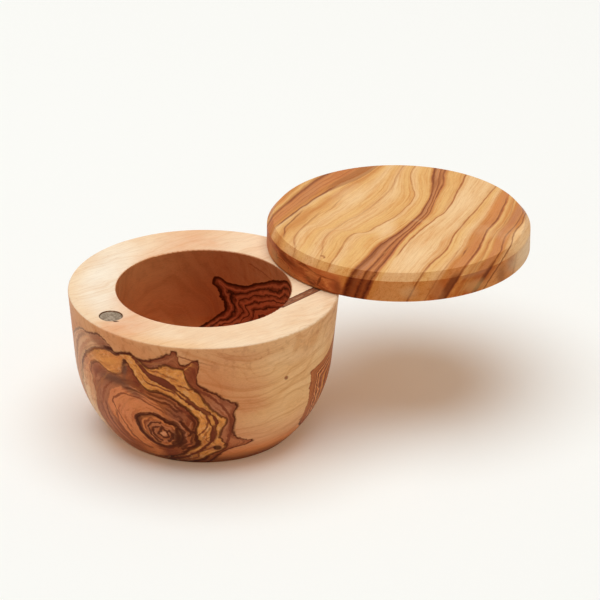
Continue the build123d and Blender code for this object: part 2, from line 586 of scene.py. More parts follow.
RINGS = [
    # in the eye
    Ring(Ink.DARK, 0.1, 0.5, 0.9, [
        (-90, 2.6), (-60, 3), (-45, 2.7), (-20, 2.4), (0, 1.9), (30, 2.1), (60, 1.9), (90, 2.3), (120, 1.4),
        (150, 1.2), (180, 1.6), (205, 2.1), (225, 1.8), (270, 2.6),
    ]),
    Ring(Ink.DARK, 0.2, 0.5, 0.9, [
        (-75, 4.8), (-60, 5), (-45, 4.3), (-20, 4.4), (0, 4.1), (12, 3.6), (24, 3.2), (38, 3),
    ]),
    Ring(Ink.DARK, 0.1, 0.45, 0.85, [
        (76, 2.9), (92, 3.1), (106, 2.7), (118, 3.1), (130, 3.2), (145, 3.9), (158, 4.4), (170, 4.1),
        (185, 4.4), (205, 4), (225, 4.3), (245, 4.8), (262, 4.5),
    ]),
    Ring(Ink.DARK, 0.08, 0.4, 0.85, [
        (92, 5.4), (102, 5.1), (112, 5.6), (122, 5.5), (135, 6.2), (150, 6.4), (162, 6.6), (172, 5.8),
        (184, 5.6), (200, 5.9), (215, 5.5), (235, 6.2), (255, 6.4),
    ]),
    Ring(Ink.DARK, 0.25, 0.5, 0.9, [
        (-66, 6.9), (-50, 6.6), (-36, 7.3), (-20, 7), (0, 6.8), (12, 6.4), (22, 6.9), (33, 7.8),
    ]),
    Ring(Ink.DARK, 0.25, 0.5, 0.95, [
        (34, 7.8), (46, 7.4), (55, 6.7), (64, 6.4), (74, 6.2), (84, 6.9), (92, 7.7), (100, 8.5), (112, 9.4),
    ]),
    Ring(Ink.DARK, 0.2, 0.5, 0.85, [
        (-60, 9.6), (-42, 9), (-25, 9.7), (-10, 9), (4, 8.8), (12, 9.4), (20, 8.8), (29, 8.1),
    ]),
    Ring(Ink.BROWN, 0.1, 0.4, 0.7, [
        (146, 10.6), (157, 11), (168, 9.7), (178, 8.9), (190, 7.8), (206, 7.4), (225, 7.2),
    ]),
    Ring(Ink.BROWN, 0.1, 0.4, 0.7, [
        (118, 7.9), (128, 8.3), (138, 8.2), (150, 8.8), (162, 8.4), (175, 7.4),
    ]),
    Ring(Ink.PINK, 0.25, 0.5, 0.5, [(98, 4.2), (110, 4), (124, 4.3), (138, 4.8), (148, 5.2)]),
    # between the eye and the dark wood
    Ring(Ink.DARK, 0.2, 0.5, 0.9, [
        (-4, 10.7), (2, 11.4), (7, 12), (13, 11.8), (18, 11.4), (24, 11), (32, 10.9), (44, 10.5),
    ]),
    Ring(Ink.DARK, 0.25, 0.5, 0.95, [
        (-60, 12.6), (-50, 13.4), (-40, 12.7), (-30, 13.6), (-20, 14.4), (-10, 13.7), (0, 14), (6, 13.3),
        (13, 12.3),
    ]),
    Ring(Ink.DARK, 0.15, 0.5, 0.7, [
        (-56, 11.1), (-45, 11.6), (-34, 11), (-24, 12), (-12, 11.8), (-2, 12.6), (6, 12.6),
    ]),
    Ring(Ink.PINK, 0.2, 0.5, 0.6, [
        (56, 7.9), (64, 7.4), (74, 7.5), (82, 8.2), (90, 9), (98, 10), (106, 11),
    ]),
    Ring(Ink.PINK, 0.12, 0.4, 0.6, [(18, 12.3), (22, 12.5), (26, 13.3), (30, 14.2)]),
    Ring(Ink.BROWN, 0.12, 0.45, 0.8, [
        (82, 10.8), (90, 11.8), (97, 12.6), (103, 13.6), (109, 14.6), (115, 16), (121, 18), (127, 19.9),
        (133, 21.6), (139, 23.9), (146, 24.5), (153, 25.2), (159, 24.7), (164, 22.5), (170, 20.3),
        (180, 17.9), (195, 16.3), (210, 15.2), (225, 14.4), (240, 13.4),
    ]),
    Ring(Ink.BROWN, 0.08, 0.4, 0.45, [
        (88, 13.2), (96, 14.1), (104, 15.4), (110, 16.9), (117, 18.8), (124, 21.4),
    ]),
    # in the dark wood
    Ring(Ink.DARK, 0.12, 0.5, 0.65, [
        (58, 14.1), (66, 14.5), (72, 15), (78, 15.6), (90, 15.8), (96, 16.5), (102, 17.2), (108, 18.2),
        (114, 19.8), (120, 21.6), (127, 24), (133, 25.8),
    ]),
    Ring(Ink.DARK, 0.1, 0.5, 0.6, [
        (52, 15.2), (58, 15.4), (66, 16.4), (76, 17), (84, 17.6), (92, 18), (99, 18.7), (107, 20),
    ]),
    Ring(Ink.DARK, 0.15, 0.5, 0.7, [
        (12, 12.6), (17, 13.8), (22, 14.7), (30, 15.4), (36, 15.6), (44, 15.2),
    ]),
    Ring(Ink.DARK, 0.1, 0.6, 0.5, [(40, 11.8), (50, 12.2), (58, 11.6), (66, 11.9), (74, 12.8), (82, 13.4)]),
    Ring(Ink.PINK, 0.1, 0.35, 0.45, [
        (60, 15.4), (66, 15.5), (72, 16), (78, 16.6), (86, 16.8), (94, 17.3), (102, 18.2),
    ]),
    Ring(Ink.DARK, 0.6, 1.6, 0.25, [
        (110, 21), (113, 23), (117, 24.7), (122, 26.2), (128, 28), (135, 29.6), (142, 31.6), (150, 33.2),
        (157, 34.4), (163, 34), (170, 32.2), (180, 32),
    ]),
    Ring(Ink.DARK, 0.3, 0.8, 0.8, [
        (111.5, 24), (113.5, 28), (114.5, 32), (116, 35.6), (118, 35.2), (119, 31),
    ]),
    Ring(Ink.BROWN, 0.15, 0.6, 0.75, [
        (164, 28.6), (172, 26.8), (180, 25.6), (188, 24.2), (197, 22.8), (207, 21.2), (218, 19),
    ]),
    Ring(Ink.BROWN, 0.15, 0.6, 0.65, [
        (168, 30.6), (176, 29.2), (184, 27.9), (193, 26.4), (203, 24.9), (213, 22.8),
    ]),
    Ring(Ink.BROWN, 0.12, 0.5, 0.6, [
        (166, 22.6), (174, 21.8), (182, 20.9), (192, 19.8), (203, 18.6), (214, 17.6),
    ]),
    Ring(Ink.PINK, 0.2, 0.6, 0.55, [
        (170, 27.9), (178, 26.9), (186, 25.8), (196, 24.3), (206, 22.8), (216, 20.8),
    ]),
    # in the gold wood
    Ring(Ink.BROWN, 0.15, 0.45, 0.9, [
        (0, 14.8), (4, 15.5), (7, 16.8), (10, 17.5), (14, 18.7), (18, 19.5), (21, 20.3), (25, 20.8),
        (29, 21.6),
    ]),
    Ring(Ink.BROWN, 0.1, 0.5, 0.55, [(-10, 16.4), (-4, 16.5), (0, 17.3), (4, 17.9), (8, 18.9), (13, 20.2)]),
    Ring(Ink.BROWN, 0.15, 0.4, 0.9, [
        (72, 21.1), (76, 21.8), (80, 22), (85, 22.3), (90, 22.9), (97, 23.6), (102, 24.5), (105, 26),
        (107, 28.6), (108.2, 31.4), (109, 34.6),
    ]),
    Ring(Ink.BROWN, 0.15, 0.4, 0.85, [(52, 27.1), (58, 27), (62, 26.7), (66, 26.5), (70, 26.1), (73, 26)]),
    Ring(Ink.GOLD, 0.5, 0.35, 0.9, [(16, 22.1), (19, 22.2), (23, 22.3), (26, 22.6), (28.5, 22.6)]),
    Ring(Ink.GOLD, 0.22, 0.25, 0.8, [(60, 21.8), (64, 22), (68, 22.4), (72, 22.8)]),
    Ring(Ink.BROWN, 0.12, 0.45, 0.8, [
        (-57, 18.7), (-50, 18.5), (-45, 17.7), (-40, 17.1), (-35, 17.3), (-30, 18.2), (-25, 19.4),
        (-20, 20.6),
    ]),
    Ring(Ink.BROWN, 0.12, 0.4, 0.7, [(-16, 19.6), (-11, 18.7), (-7, 17.9), (-4, 18.8), (-1, 19.9)]),
    Ring(Ink.BROWN, 0.1, 0.4, 0.6, [(-14, 21.4), (-10, 20.4), (-7, 21.2), (-4, 21.8), (0, 22.2)]),
    Ring(Ink.BROWN, 0.1, 0.4, 0.6, [(74, 28.4), (80, 28.7), (86, 29.4), (92, 30.4), (97, 30.9)]),
    # in the outer band
    Ring(Ink.BROWN, 0.25, 0.4, 0.9, [
        (-15, 24.6), (-9, 25.8), (-2, 26.4), (4, 27.2), (9, 27.8), (13, 28.4), (16, 28.8), (20, 29),
        (25, 29.2), (30, 29.4), (34, 29.4), (38, 29), (42, 28.8), (46, 28.6), (50, 28.3), (54, 27.9),
        (58, 27.9),
    ]),
    Ring(Ink.PINK, 0.12, 0.3, 0.75, [(36, 29.8), (40, 29.5), (44, 29.2), (47, 29.1)]),
    Ring(Ink.GOLD, 0.15, 0.4, 0.6, [(68.4, 38.6), (69.6, 36.8), (71, 35), (73, 33.8)]),
    Ring(Ink.PINK, 0.15, 0.4, 0.5, [(80, 40), (82, 37.4), (85, 35.8)]),
    Ring(Ink.DARK, 0.4, 0.5, 1, [
        (102, 33.6), (105, 36.4), (108, 38.5), (111, 39.2), (115, 39.4), (119.5, 39.6), (121.5, 41.4),
        (124, 42.6), (128, 43.8),
    ]),
    Ring(Ink.DARK, 0.1, 0.6, 0.6, [
        (121, 41), (126, 42.2), (131, 43.9), (137, 45.2), (143, 45.9), (150, 45.5), (158, 44.2),
    ]),
    Ring(Ink.PINK, 0.3, 0.8, 0.5, [(134, 48.6), (140, 48.9), (147, 48.6), (155, 47.4), (165, 45.2)]),
    Ring(Ink.BROWN, 0.2, 0.8, 0.5, [(136, 51.6), (142, 52.4), (150, 51.4), (158, 49), (168, 46.6)]),
    Ring(Ink.BROWN, 0.2, 0.6, 0.8, [(188, 43.5), (196, 41.6), (204, 38.6), (212, 35.2), (222, 30.5)]),
    Ring(Ink.BROWN, 0.2, 0.6, 0.7, [(192, 45.5), (200, 43.2), (208, 40.2), (216, 36.5)]),
]

# Ovals on the knot: right of its eye and above the base, in millimetres
KNOT_PATCHES = [
    Patch(-6.5, 57.5, 6.5, 2.6, 12, 0.7, "purple", 0.6),
    Patch(4.5, 54.5, 2.4, 4.5, -25, 0.7, "purple", 0.45),
    Patch(23.5, 42, 4, 2, -40, 0.7, "purple", 0.4),
    Patch(6.2, 16.4, 2.3, 6, 12, 0.6, "deep", 0.75),
    Patch(13.4, 15.6, 2.2, 3.4, -20, 0.6, "deep", 0.5),
    Patch(10, 14, 1.6, 4, 10, 0.7, "red", 0.5),
    Patch(6, 29.5, 5, 3.4, -30, 0.7, "mauve", 0.4),
    Patch(17, 13.4, 2.4, 3.6, 35, 0.5, "brown", 0.4),
    Patch(20.6, 11.8, 2.8, 2, 15, 0.5, "bark", 0.8),
    Patch(20.8, 11.9, 1.7, 1.6, 0, 0.3, "deep", 1),
    Patch(-16, 51.4, 1.1, 0.9, 0, 0.4, "deep", 1),
    Patch(-22.5, 49, 6.5, 2.6, 20, 0.8, "gold", 0.75),
    Patch(-31, 41.5, 4.2, 2.6, 25, 0.6, "purple", 0.5),
    Patch(-30.5, 56.3, 6.5, 3, -12, 0.6, "purple", 0.6),
    Patch(-16.4, 47.5, 1.6, 4.5, 0, 0.6, "slate", 0.85),
    Patch(25, 20, 1.6, 6, -12, 0.8, "bark", 0.6),
    Patch(-22, 40.8, 8.5, 2.6, 6, 0.8, "slate", 0.8),
    Patch(-13.5, 38, 7, 2, -25, 0.8, "slate", 0.7),
    Patch(-10, 30, 8, 4, -20, 0.8, "orange", 0.35),
    Patch(0.3, 18.9, 1.5, 1.1, 40, 0.5, "cream", 0.9),
    Patch(26, 35, 3, 2.2, -50, 0.6, "mauve", 0.5),
    Patch(-35, 29, 4, 10, 12, 0.9, "orange", 0.45),
]


# Ovals on the sapwood, placed like those of the knot
SAP_PATCHES = [
    Patch(50, 51, 8, 4, -20, 0.9, "peach", 0.35),
    Patch(33, 57.5, 10, 2.5, 0, 0.9, "bark", 0.25),
    Patch(37, 44, 8, 4.5, -30, 0.9, "side_oil_and_shade", 0.4),
    Patch(-13, 58.5, 17, 5, -10, 0.9, "side_oil_and_shade", 0.85),
    Patch(35, 34, 10, 5, -24, 0.9, "side_oil_and_shade", 0.55),
    Patch(30, 44, 6, 1.6, -14, 0.9, "bark", 0.2),
    Patch(52, 22, 6, 12, 20, 0.9, "inner_pale", 0.3),
]


# The dark heart at the right and back: its top over the distance towards the right front, and its
# inner side over the height, in millimetres
HEART_CREST = [
    (-60, 44), (-40, 46), (-25, 50), (-21, 50.6), (-17, 48.2), (-11, 48), (-5, 50.6), (1.4, 53.5), (6, 56),
    (11, 57.8), (17, 60.6), (24, 61.5), (31, 62), (33, 63), (35, 68), (37.2, 63), (41, 56), (45, 47.5),
    (49, 42.5), (54, 40), (60, 38),
]
HEART_SIDE = [
    (0, -34), (12, -32), (20, -30), (27, -26.5), (29, -24.2), (32, -21.1), (36, -18.4), (40, -20),
    (45, -21.2), (48, -22.8), (50, -22.4), (54, -20), (63, -20), (70, -20),
]


@dataclass(frozen=True)
class BowlWood(OiledWood):
    """Pale sapwood with a dark knot on the front and a second dark heart at the right and back."""

    knot_turn: float = -18.0
    knot_height: float = 19.5
    pale_top: Triple = (0.93, 0.7, 0.47)
    pale_left: Triple = (0.96, 0.84, 0.67)
    # The sides' colour: partly oil, partly painted shade
    side_oil_and_shade: Triple = (0.76, 0.3, 0.112)
    pale_right: Triple = (0.99, 0.6, 0.275)
    pale_high: Triple = (0.88, 0.48, 0.225)
    gold: Triple = (0.88, 0.34, 0.075)
    orange: Triple = (0.78, 0.245, 0.072)
    cream: Triple = (0.8, 0.32, 0.14)
    purple: Triple = (0.29, 0.06, 0.02)
    brown: Triple = (0.48, 0.13, 0.035)
    dark: Triple = (0.085, 0.013, 0.001)
    deep: Triple = (0.055, 0.012, 0.002)
    mauve: Triple = (0.54, 0.19, 0.083)
    rose: Triple = (0.82, 0.43, 0.215)
    slate: Triple = (0.2, 0.078, 0.042)
    amber: Triple = (0.81, 0.27, 0.1)
    bark: Triple = (0.6, 0.2, 0.08)
    olive: Triple = (0.2, 0.055, 0.013)
    honey: Triple = (0.98, 0.5, 0.2)
    peach: Triple = (1.0, 0.68, 0.38)
    red: Triple = (0.6, 0.145, 0.052)
    inner_pale: Triple = (0.96, 0.47, 0.17)
    # The cavity's darker colour, towards the right: painted shade
    inner_shade: Triple = (0.55, 0.138, 0.03)
    flow_tint: Triple = (0.62, 0.4, 0.3)
    fine_tint: Triple = (0.7, 0.5, 0.4)
    heart_tint: Triple = (0.45, 0.3, 0.25)
    border_tint: Triple = (0.96, 0.84, 0.7)
    line_tint: Triple = (0.88, 0.74, 0.6)
    cloud_tint: Triple = (0.92, 0.8, 0.7)
    growth_tint: Triple = (0.78, 0.56, 0.38)
    mottle_tint: Triple = (0.78, 0.66, 0.6)
    # Tints down the sides towards the foot: painted contact shade, partly darker wood
    lower_wood_and_shade_tint: Triple = (0.84, 0.42, 0.19)
    foot_wood_and_shade_tint: Triple = (1.0, 0.66, 0.4)
    base_wood_and_shade_tint: Triple = (0.5, 0.38, 0.34)
    inner_tint: Triple = (0.74, 0.6, 0.46)
    grain_across: Triple = (0.0, 0.95, -0.3)
    grain_deep: Triple = (0.0, 0.3, 0.95)
    growth_centre: float = 36.0
    growth_sag: float = 0.012
    heart_front: Point = (0.733, -0.681)
    heart_back: Point = (0.681, 0.733)
    heart_depth: float = 29.0
    heart_stirred: float = 2.2
    pin_knot: Point = (46.5, 42.5)
    crack_top: float = 61.4
    crack_fall: float = 0.31
    cavity_edge: Point = (36.6, 37.4)
    rim_start: Point = (36.8, 37.4)
    wall_start: Point = (46.0, 50.0)
    magnet: Triple = (-46.95, 0.0, 0.0)
    magnet_ring: Point = (4.9, 5.3)
    chip_place: Point = (2.3, -5.1)
    chip_half: Point = (1.3, 0.55)

    def ring_space(self, graph: Graph, point: Socket) -> dict[str, Value]:
        """Measures a point round the knot's eye.

        Args:
            graph: The wood's graph.
            point: Where the wood is, in millimetres.

        Returns:
            Its angle in degrees, its distance from the eye, the two parts of its direction, how far
            it lies right of the eye and above the base, and how many contours it has passed.
        """
        turn = math.radians(self.knot_turn)
        right = graph.toward(point, math.cos(turn), math.sin(turn))
        height = graph.dot(point, UP)
        rise = height - self.knot_height
        depth = graph.toward(point, math.sin(turn), -math.cos(turn))
        wave = graph.stir(point, 0.13, 2.0)
        ripple = graph.stir(point, 0.42, 2.0, 0.6)
        jag = graph.stir(point, 0.95, 1.0)
        straight = graph.length(right, rise)
        turned = graph.math("ARCTAN2", rise, right) / math.tau + 0.25
        angle = graph.math("FRACT", turned + ripple * 0.012) * TURN + ROUND[0]
        reach = straight + wave * 1.6 + ripple * 1.7 + jag * 0.7
        reach = reach * (1.0 + graph.ease(-depth, -8.0, 14.0, 3.0))
        place = {"angle": angle, "reach": reach, "right": right, "height": height}
        place["east"] = right / (straight + 0.01)
        place["north"] = rise / (straight + 0.01)
        level = None
        last = 0.0
        for number, points in enumerate(CONTOURS):
            edge = graph.curve(angle, closed(points), ROUND, FAR)
            step = graph.between(reach, last, edge)
            level = step if level is None else level + step
            place[f"edge_{number}"] = edge
            last = edge
        place["level"] = level + graph.between(reach, last, last + 20.0)
        return place

    def zones(self, graph: Graph, place: dict[str, Value]) -> Socket:
        """Colours the broad zones between the knot's contours.

        Args:
            graph: The wood's graph.
            place: The point's place round the eye.

        Returns:
            The colour.
        """
        eye = [
            (0, self.cream), (0.1, self.cream), (0.16, self.brown), (0.3, self.bark), (0.42, self.brown),
            (0.55, self.bark), (0.68, self.brown), (0.76, self.orange), (0.88, self.olive), (1, self.dark),
        ]
        # Each angle ramp turns dark at -90 and 270 degrees, straight below the eye where the knot runs down
        # to the foot: partly the knot's dark wood, partly painted contact shade
        bark = [
            (-90, self.purple), (-50, self.brown), (-20, self.mauve), (30, self.bark), (70, self.brown),
            (92, self.orange), (120, self.amber), (160, self.amber), (200, self.orange), (232, self.orange),
            (254, self.brown), (270, self.purple),
        ]
        shadow = [
            (-90, self.purple), (-40, self.brown), (0, self.brown), (40, self.purple), (62, self.purple),
            (85, self.brown), (105, self.brown), (114, self.purple), (125, self.brown), (150, self.mauve),
            (175, self.mauve), (200, self.brown), (222, self.brown), (250, self.orange), (270, self.purple),
        ]
        bright = [
            (-90, self.dark), (-62, self.brown), (-35, self.gold), (20, self.gold), (100, self.gold),
            (112, self.gold), (122, self.orange), (135, self.gold), (150, self.cream), (168, self.peach),
            (195, self.peach), (212, self.cream), (230, self.orange), (250, self.brown), (270, self.dark),
        ]
        rim = [
            (-90, self.dark), (-50, self.purple), (-22, self.brown), (-4, self.bark), (8, self.mauve),
            (20, self.bark), (34, self.mauve), (52, self.brown), (66, self.purple), (74, self.brown),
            (86, self.mauve), (118, self.purple), (132, self.rose), (168, self.rose), (182, self.cream),
            (205, self.mauve), (225, self.purple), (270, self.dark),
        ]
        colour = graph.ramp(place["level"], eye, UNIT)
        for number, stops in ((1, bark), (2, shadow), (3, bright), (5, rim)):
            past = graph.between(place["reach"] - place[f"edge_{number - 1}"], -0.15, 0.15)
            colour = graph.mix(past, colour, graph.ramp(place["angle"], stops, ROUND))
        return colour

    def edges(self, graph: Graph, place: dict[str, Value]) -> dict[Ink, Value]:
        """Measures how much of each ink the rings lay on a point.

        Args:
            graph: The wood's graph.
            place: The point's place round the eye.

        Returns:
            The share of each ink, from 0 to 1.
        """
        angle = place["angle"]
        shares = {}
        stripe = graph.curve(angle, STRIPE_WIDTH, ROUND, (-1.0, 3.0))
        beside = abs(place["reach"] - place[f"edge_{STRIPED}"]) - stripe
        shares[Ink.PURPLE] = graph.between(-beside, -0.4, -0.1)
        dark = None
        for number, (flat, strength) in CONTOUR_LINES.items():
            near = abs(place["reach"] - place[f"edge_{number}"])
            if number == STRIPED:
                near = abs(beside)
            share = graph.fade(near, flat, flat + 0.6)
            share = share * graph.curve(angle, strength, ROUND, UNIT, Bend.SHARP)
            dark = share if dark is None else graph.most(dark, share)
        shares[Ink.DARK] = dark
        for ring in RINGS:
            line = graph.curve(angle, ring.points, ROUND, FAR)
            flat = ring.flat + (DARK_SPREAD if ring.ink is Ink.DARK else SPREAD)
            share = graph.fade(abs(place["reach"] - line), flat, flat + ring.soft, ring.strength)
            start, end = ring.points[0][0], ring.points[-1][0]
            if start > ROUND[0] and end < ROUND[1]:
                fade = min(4.0, (end - start) / 4) / 2
                window = [(start - fade, 0.0), (start + fade, 1.0), (end - fade, 1.0), (end + fade, 0.0)]
                share = share * graph.curve(angle, window, ROUND, UNIT, Bend.SHARP)
            shares[ring.ink] = graph.most(shares[ring.ink], share) if ring.ink in shares else share
        return shares

    def knot(self, graph: Graph, place: dict[str, Value]) -> Socket:
        """Colours the knot: zones, then ovals, then streaks along the rings, then the rings.

        Args:
            graph: The wood's graph.
            place: The point's place round the eye.

        Returns:
            The colour.
        """
        colour = self.zones(graph, place)
        flat = graph.vector(place["right"], place["height"], 0.0)
        blotch = graph.stir(flat, 0.55, 2.0)
        outward = place["level"] * 3.0 + place["reach"] * 0.22
        turn = graph.vector(outward, place["east"] * 2.4, place["north"] * 2.4)
        flow = graph.noise(turn, 1.0, 3.0, 0.6)
        turn_fine = graph.vector(outward * 2.6, place["east"] * 4.0, place["north"] * 4.0)
        fine = graph.noise(turn_fine, 1.0, 2.0)
        colour = graph.stain(graph.ease(flow, 0.5, 0.66, 0.7), colour, self.flow_tint)
        colour = graph.stain(graph.ease(fine, 0.52, 0.7, 0.55), colour, self.fine_tint)
        colour = graph.mix(graph.fade(flow, 0.3, 0.44, 0.3), colour, self.orange)
        veins = graph.fade(abs(flow - 0.46), 0.0, 0.035)
        veins = graph.most(veins, graph.fade(abs(fine - 0.47), 0.0, 0.05, 0.7))
        outer = graph.between(place["level"], 2.7, 3.2)
        gilt = outer - graph.between(place["level"], 4.85, 5.0)
        coarse = graph.vector(place["right"] * 0.4, place["height"] * 0.4, 3.0)
        lumps = graph.noise(coarse, 1.0, 3.0, 0.6)
        colour = graph.mix(graph.ease(lumps, 0.5, 0.66) * gilt * 0.5, colour, self.honey)
        colour = graph.mix(graph.fade(lumps, 0.34, 0.47) * gilt * 0.6, colour, self.bark)
        colour = self.ovals(graph, colour, KNOT_PATCHES, flat, blotch * 0.7)
        strength = [(-90, 0.5), (100, 1), (118, 0.6), (134, 0), (270, 0)]
        around = graph.curve(place["angle"], strength, ROUND, UNIT)
        border = graph.fade(place["edge_5"] - place["reach"], 1.2, 3.6)
        border = border * graph.between(place["level"], 5.0, 5.2)
        border = border * around * (graph.ease(flow, 0.36, 0.56, 0.5) + 0.35)
        colour = graph.mix(border, colour, self.purple)
        veins = veins * graph.ease(graph.noise(turn, 0.35, 1.0), 0.42, 0.6) * (0.5 - gilt * 0.3)
        veins = veins * graph.between(place["level"], 1.8, 2.0)
        colour = graph.mix(veins, colour, shade(self.purple, 0.6))
        inks = {
            Ink.PURPLE: shade(self.purple, 0.75), Ink.GOLD: self.gold, Ink.PINK: self.bark,
            Ink.BROWN: shade(self.purple, 0.8), Ink.DARK: self.dark,
        }
        shares = self.edges(graph, place)
        broken = graph.ease(fine, 0.25, 0.5, 0.2) + 0.8
        for ink, ink_colour in inks.items():
            share = shares[ink] if ink is Ink.PURPLE else shares[ink] * broken
            colour = graph.mix(share, colour, ink_colour)
        return colour

    def heart(self, graph: Graph, point: Socket) -> Value:
        """Measures how deep a point lies in the dark heart at the right and back.

        Args:
            graph: The wood's graph.
            point: Where the wood is, in millimetres.

        Returns:
            The depth in millimetres, below 0 outside.
        """
        wave = graph.stir(point, 0.12, 3.0, 0.6)
        ripple = graph.stir(point, 0.5, 2.0, 0.6)
        over = graph.toward(point, *self.heart_front) + ripple * 0.5
        back = graph.toward(point, *self.heart_back)
        height = graph.dot(point, UP)
        crest = graph.curve(over, HEART_CREST, ACROSS, (0.0, 80.0))
        side = graph.curve(height, HEART_SIDE, (0.0, 70.0), ACROSS)
        top = crest - height + ripple * 0.8
        inward = over - side + wave * 3.0 + ripple * 1.5
        front = (back - 8.5) * 0.8 + wave * 5.0 + ripple * 2.0
        foot = height - 15.0 + back * 0.45 + wave * 6.0
        return graph.least(graph.least(top, inward), graph.least(front, foot))

    def heart_figure(self, graph: Graph, point: Socket, depth: Value, kink: Value) -> Socket:
        """Colours the dark heart: dark at its edge, with wavy dark lines over red wood further in.

        Args:
            graph: The wood's graph.
            point: Where the wood is, in millimetres.
            depth: How deep the point lies in the heart.
            kink: A small noise that bends the lines, from -0.5 to 0.5.

        Returns:
            The colour.
        """
        bend = graph.stir(point, 0.09, 2.0)
        far = depth + bend * graph.ease(depth, 0.5, 6.0, 9.0)
        far = far + kink * graph.ease(depth, 0.4, 3.0, self.heart_stirred)
        stops = [
            (0, self.purple), (0.3, self.dark), (1, self.dark), (1.5, self.purple), (2.5, self.red),
            (3.5, self.purple), (3.8, self.deep), (4.5, self.purple), (5.4, self.red), (6.3, self.red),
            (6.7, self.dark), (7.2, self.purple), (8.2, self.red), (9.2, self.red), (9.8, self.dark),
            (10.5, self.red), (12, self.red), (13.2, self.purple), (13.6, self.dark), (14.2, self.red),
            (16.4, self.red), (17, self.dark), (17.5, self.purple), (19.2, self.red), (21, self.brown),
            (21.5, self.dark), (22.2, self.red), (26, self.brown), (27, self.purple), (30, self.red),
        ]
        far = graph.math("PINGPONG", far, self.heart_depth)
        colour = graph.ramp(far, stops, (0.0, 30.0))
        streak = graph.noise(graph.vector(far * 0.9, bend * 3.0, kink), 1.0, 3.0, 0.65)
        return graph.stain(graph.ease(streak, 0.46, 0.66, 0.6), colour, self.heart_tint)

    def heart_outside(self, graph: Graph, depth: Value) -> tuple[Socket, Socket]:
        """Colours the heart where it comes out on the bowl's wall, and on its rim.

        Args:
            graph: The wood's graph.
            depth: How deep the point lies in the heart.

        Returns:
            The colour on the wall: gold between dark lines; and on the rim: mauve in a dark border.
        """
        wall = [
            (0, self.purple), (0.4, self.brown), (1.2, shade(self.orange, 0.72)), (2, self.brown),
            (2.8, shade(self.orange, 0.7)), (3.2, self.purple), (3.6, self.brown), (4, self.orange),
            (4.3, self.honey), (4.6, self.brown), (5, self.dark), (5.5, self.brown), (6.2, self.orange),
            (6.6, self.honey), (7, self.purple), (7.4, self.brown), (7.8, self.purple), (8.6, self.bark),
            (10, self.gold), (11, self.purple), (13, self.brown), (14, self.orange), (14.4, self.purple),
            (16, self.orange), (17, self.dark), (18, self.brown), (19.4, self.orange), (19.8, self.purple),
            (22, self.orange), (23, self.purple), (26, self.brown), (30, self.bark),
        ]
        rim = [
            (0, self.purple), (0.4, self.deep), (1, self.deep), (1.4, self.slate),
            (1.9, shade(self.mauve, 0.6)), (2.4, self.slate), (2.9, shade(self.mauve, 0.62)),
            (3.4, self.slate), (4.2, shade(self.mauve, 0.66)), (4.8, self.slate), (6, self.rose),
            (8, self.purple), (9, self.bark), (13, self.gold), (14, self.purple), (18, self.rose),
            (24, self.brown), (30, self.bark),
        ]
        depth = graph.math("PINGPONG", depth, self.heart_depth)
        return graph.ramp(depth, wall, (0.0, 30.0)), graph.ramp(depth, rim, (0.0, 30.0))

    def sapwood(self, graph: Graph, point: Socket, place: dict[str, Value]) -> Socket:
        """Colours the pale wood: paler on top, darker and more golden on the sides from oil and painted
        shade, and darker and redder towards the foot from painted contact shade and darker wood.

        Args:
            graph: The wood's graph.
            point: Where the wood is, in millimetres.
            place: The point's place round the knot's eye.

        Returns:
            The colour.
        """
        right, height = place["right"], place["height"]
        layer = self.layer(graph, point)
        along = graph.dot(point, EAST)
        rings = graph.noise(graph.vector(layer * 0.5, along * 0.012, 0.0), 1.0, 3.0, 0.6)
        cloud = graph.noise(point, 0.06, 3.0, 0.55)
        up = graph.ease(graph.facing(), 0.15, 0.95)
        from_left = graph.toward(point, 1.0, 0.0)
        top = graph.mix(graph.fade(from_left, -46.0, -20.0), self.pale_top, self.pale_left)
        border = graph.ease(self.off_axis(graph, point), 46.0, 56.0)
        border = border * graph.fade(from_left, -8.0, 14.0) * graph.facing()
        border = border * graph.step(graph.toward(point, 0.0, 1.0), 8.0, 40.0, 1.0, 0.4)
        top = graph.stain(border, top, self.border_tint)
        high = graph.ease(height, 46.0, 62.0, 0.6)
        drift = from_left + (cloud - 0.5) * 26.0
        # The sides are darker and more golden than the top: partly oil, partly painted shade
        side = graph.mix(graph.ease(drift, 4.0, 38.0), self.side_oil_and_shade, self.pale_right)
        base = graph.mix(up, graph.mix(high, side, self.pale_high), top)
        wall = graph.fade(graph.facing(), 0.2, 0.8)
        lined = graph.ease(rings, 0.48, 0.66) * (wall * 0.35 + 0.42)
        lined = graph.stain(lined, base, self.line_tint)
        clouded = graph.stain(graph.ease(cloud, 0.42, 0.7, 0.5), lined, self.cloud_tint)
        flat = graph.vector(right, height, 0.0)
        clouded = self.ovals(graph, clouded, SAP_PATCHES, flat, (cloud - 0.5) * 1.6)
        # growth lines that sag from the knot to the right, and mottling under the rim
        beside = right - self.growth_centre
        sag = beside * beside * self.growth_sag - height + graph.stir(point, 0.045, 1.0) * 8.0
        growth = graph.noise(graph.vector(sag * 0.42, right * 0.012, 0.0), 1.0, 2.0, 0.6)
        fade = wall * graph.ease(right, -20.0, 30.0)
        grown = graph.stain(graph.ease(growth, 0.48, 0.66) * fade * 0.5, clouded, self.growth_tint)
        mottle = graph.noise(point, 0.34, 2.0, 0.6)
        spots = graph.ease(mottle, 0.5, 0.68) * wall * graph.ease(height, 44.0, 56.0)
        mottled = graph.stain(spots * 0.55, grown, self.mottle_tint)
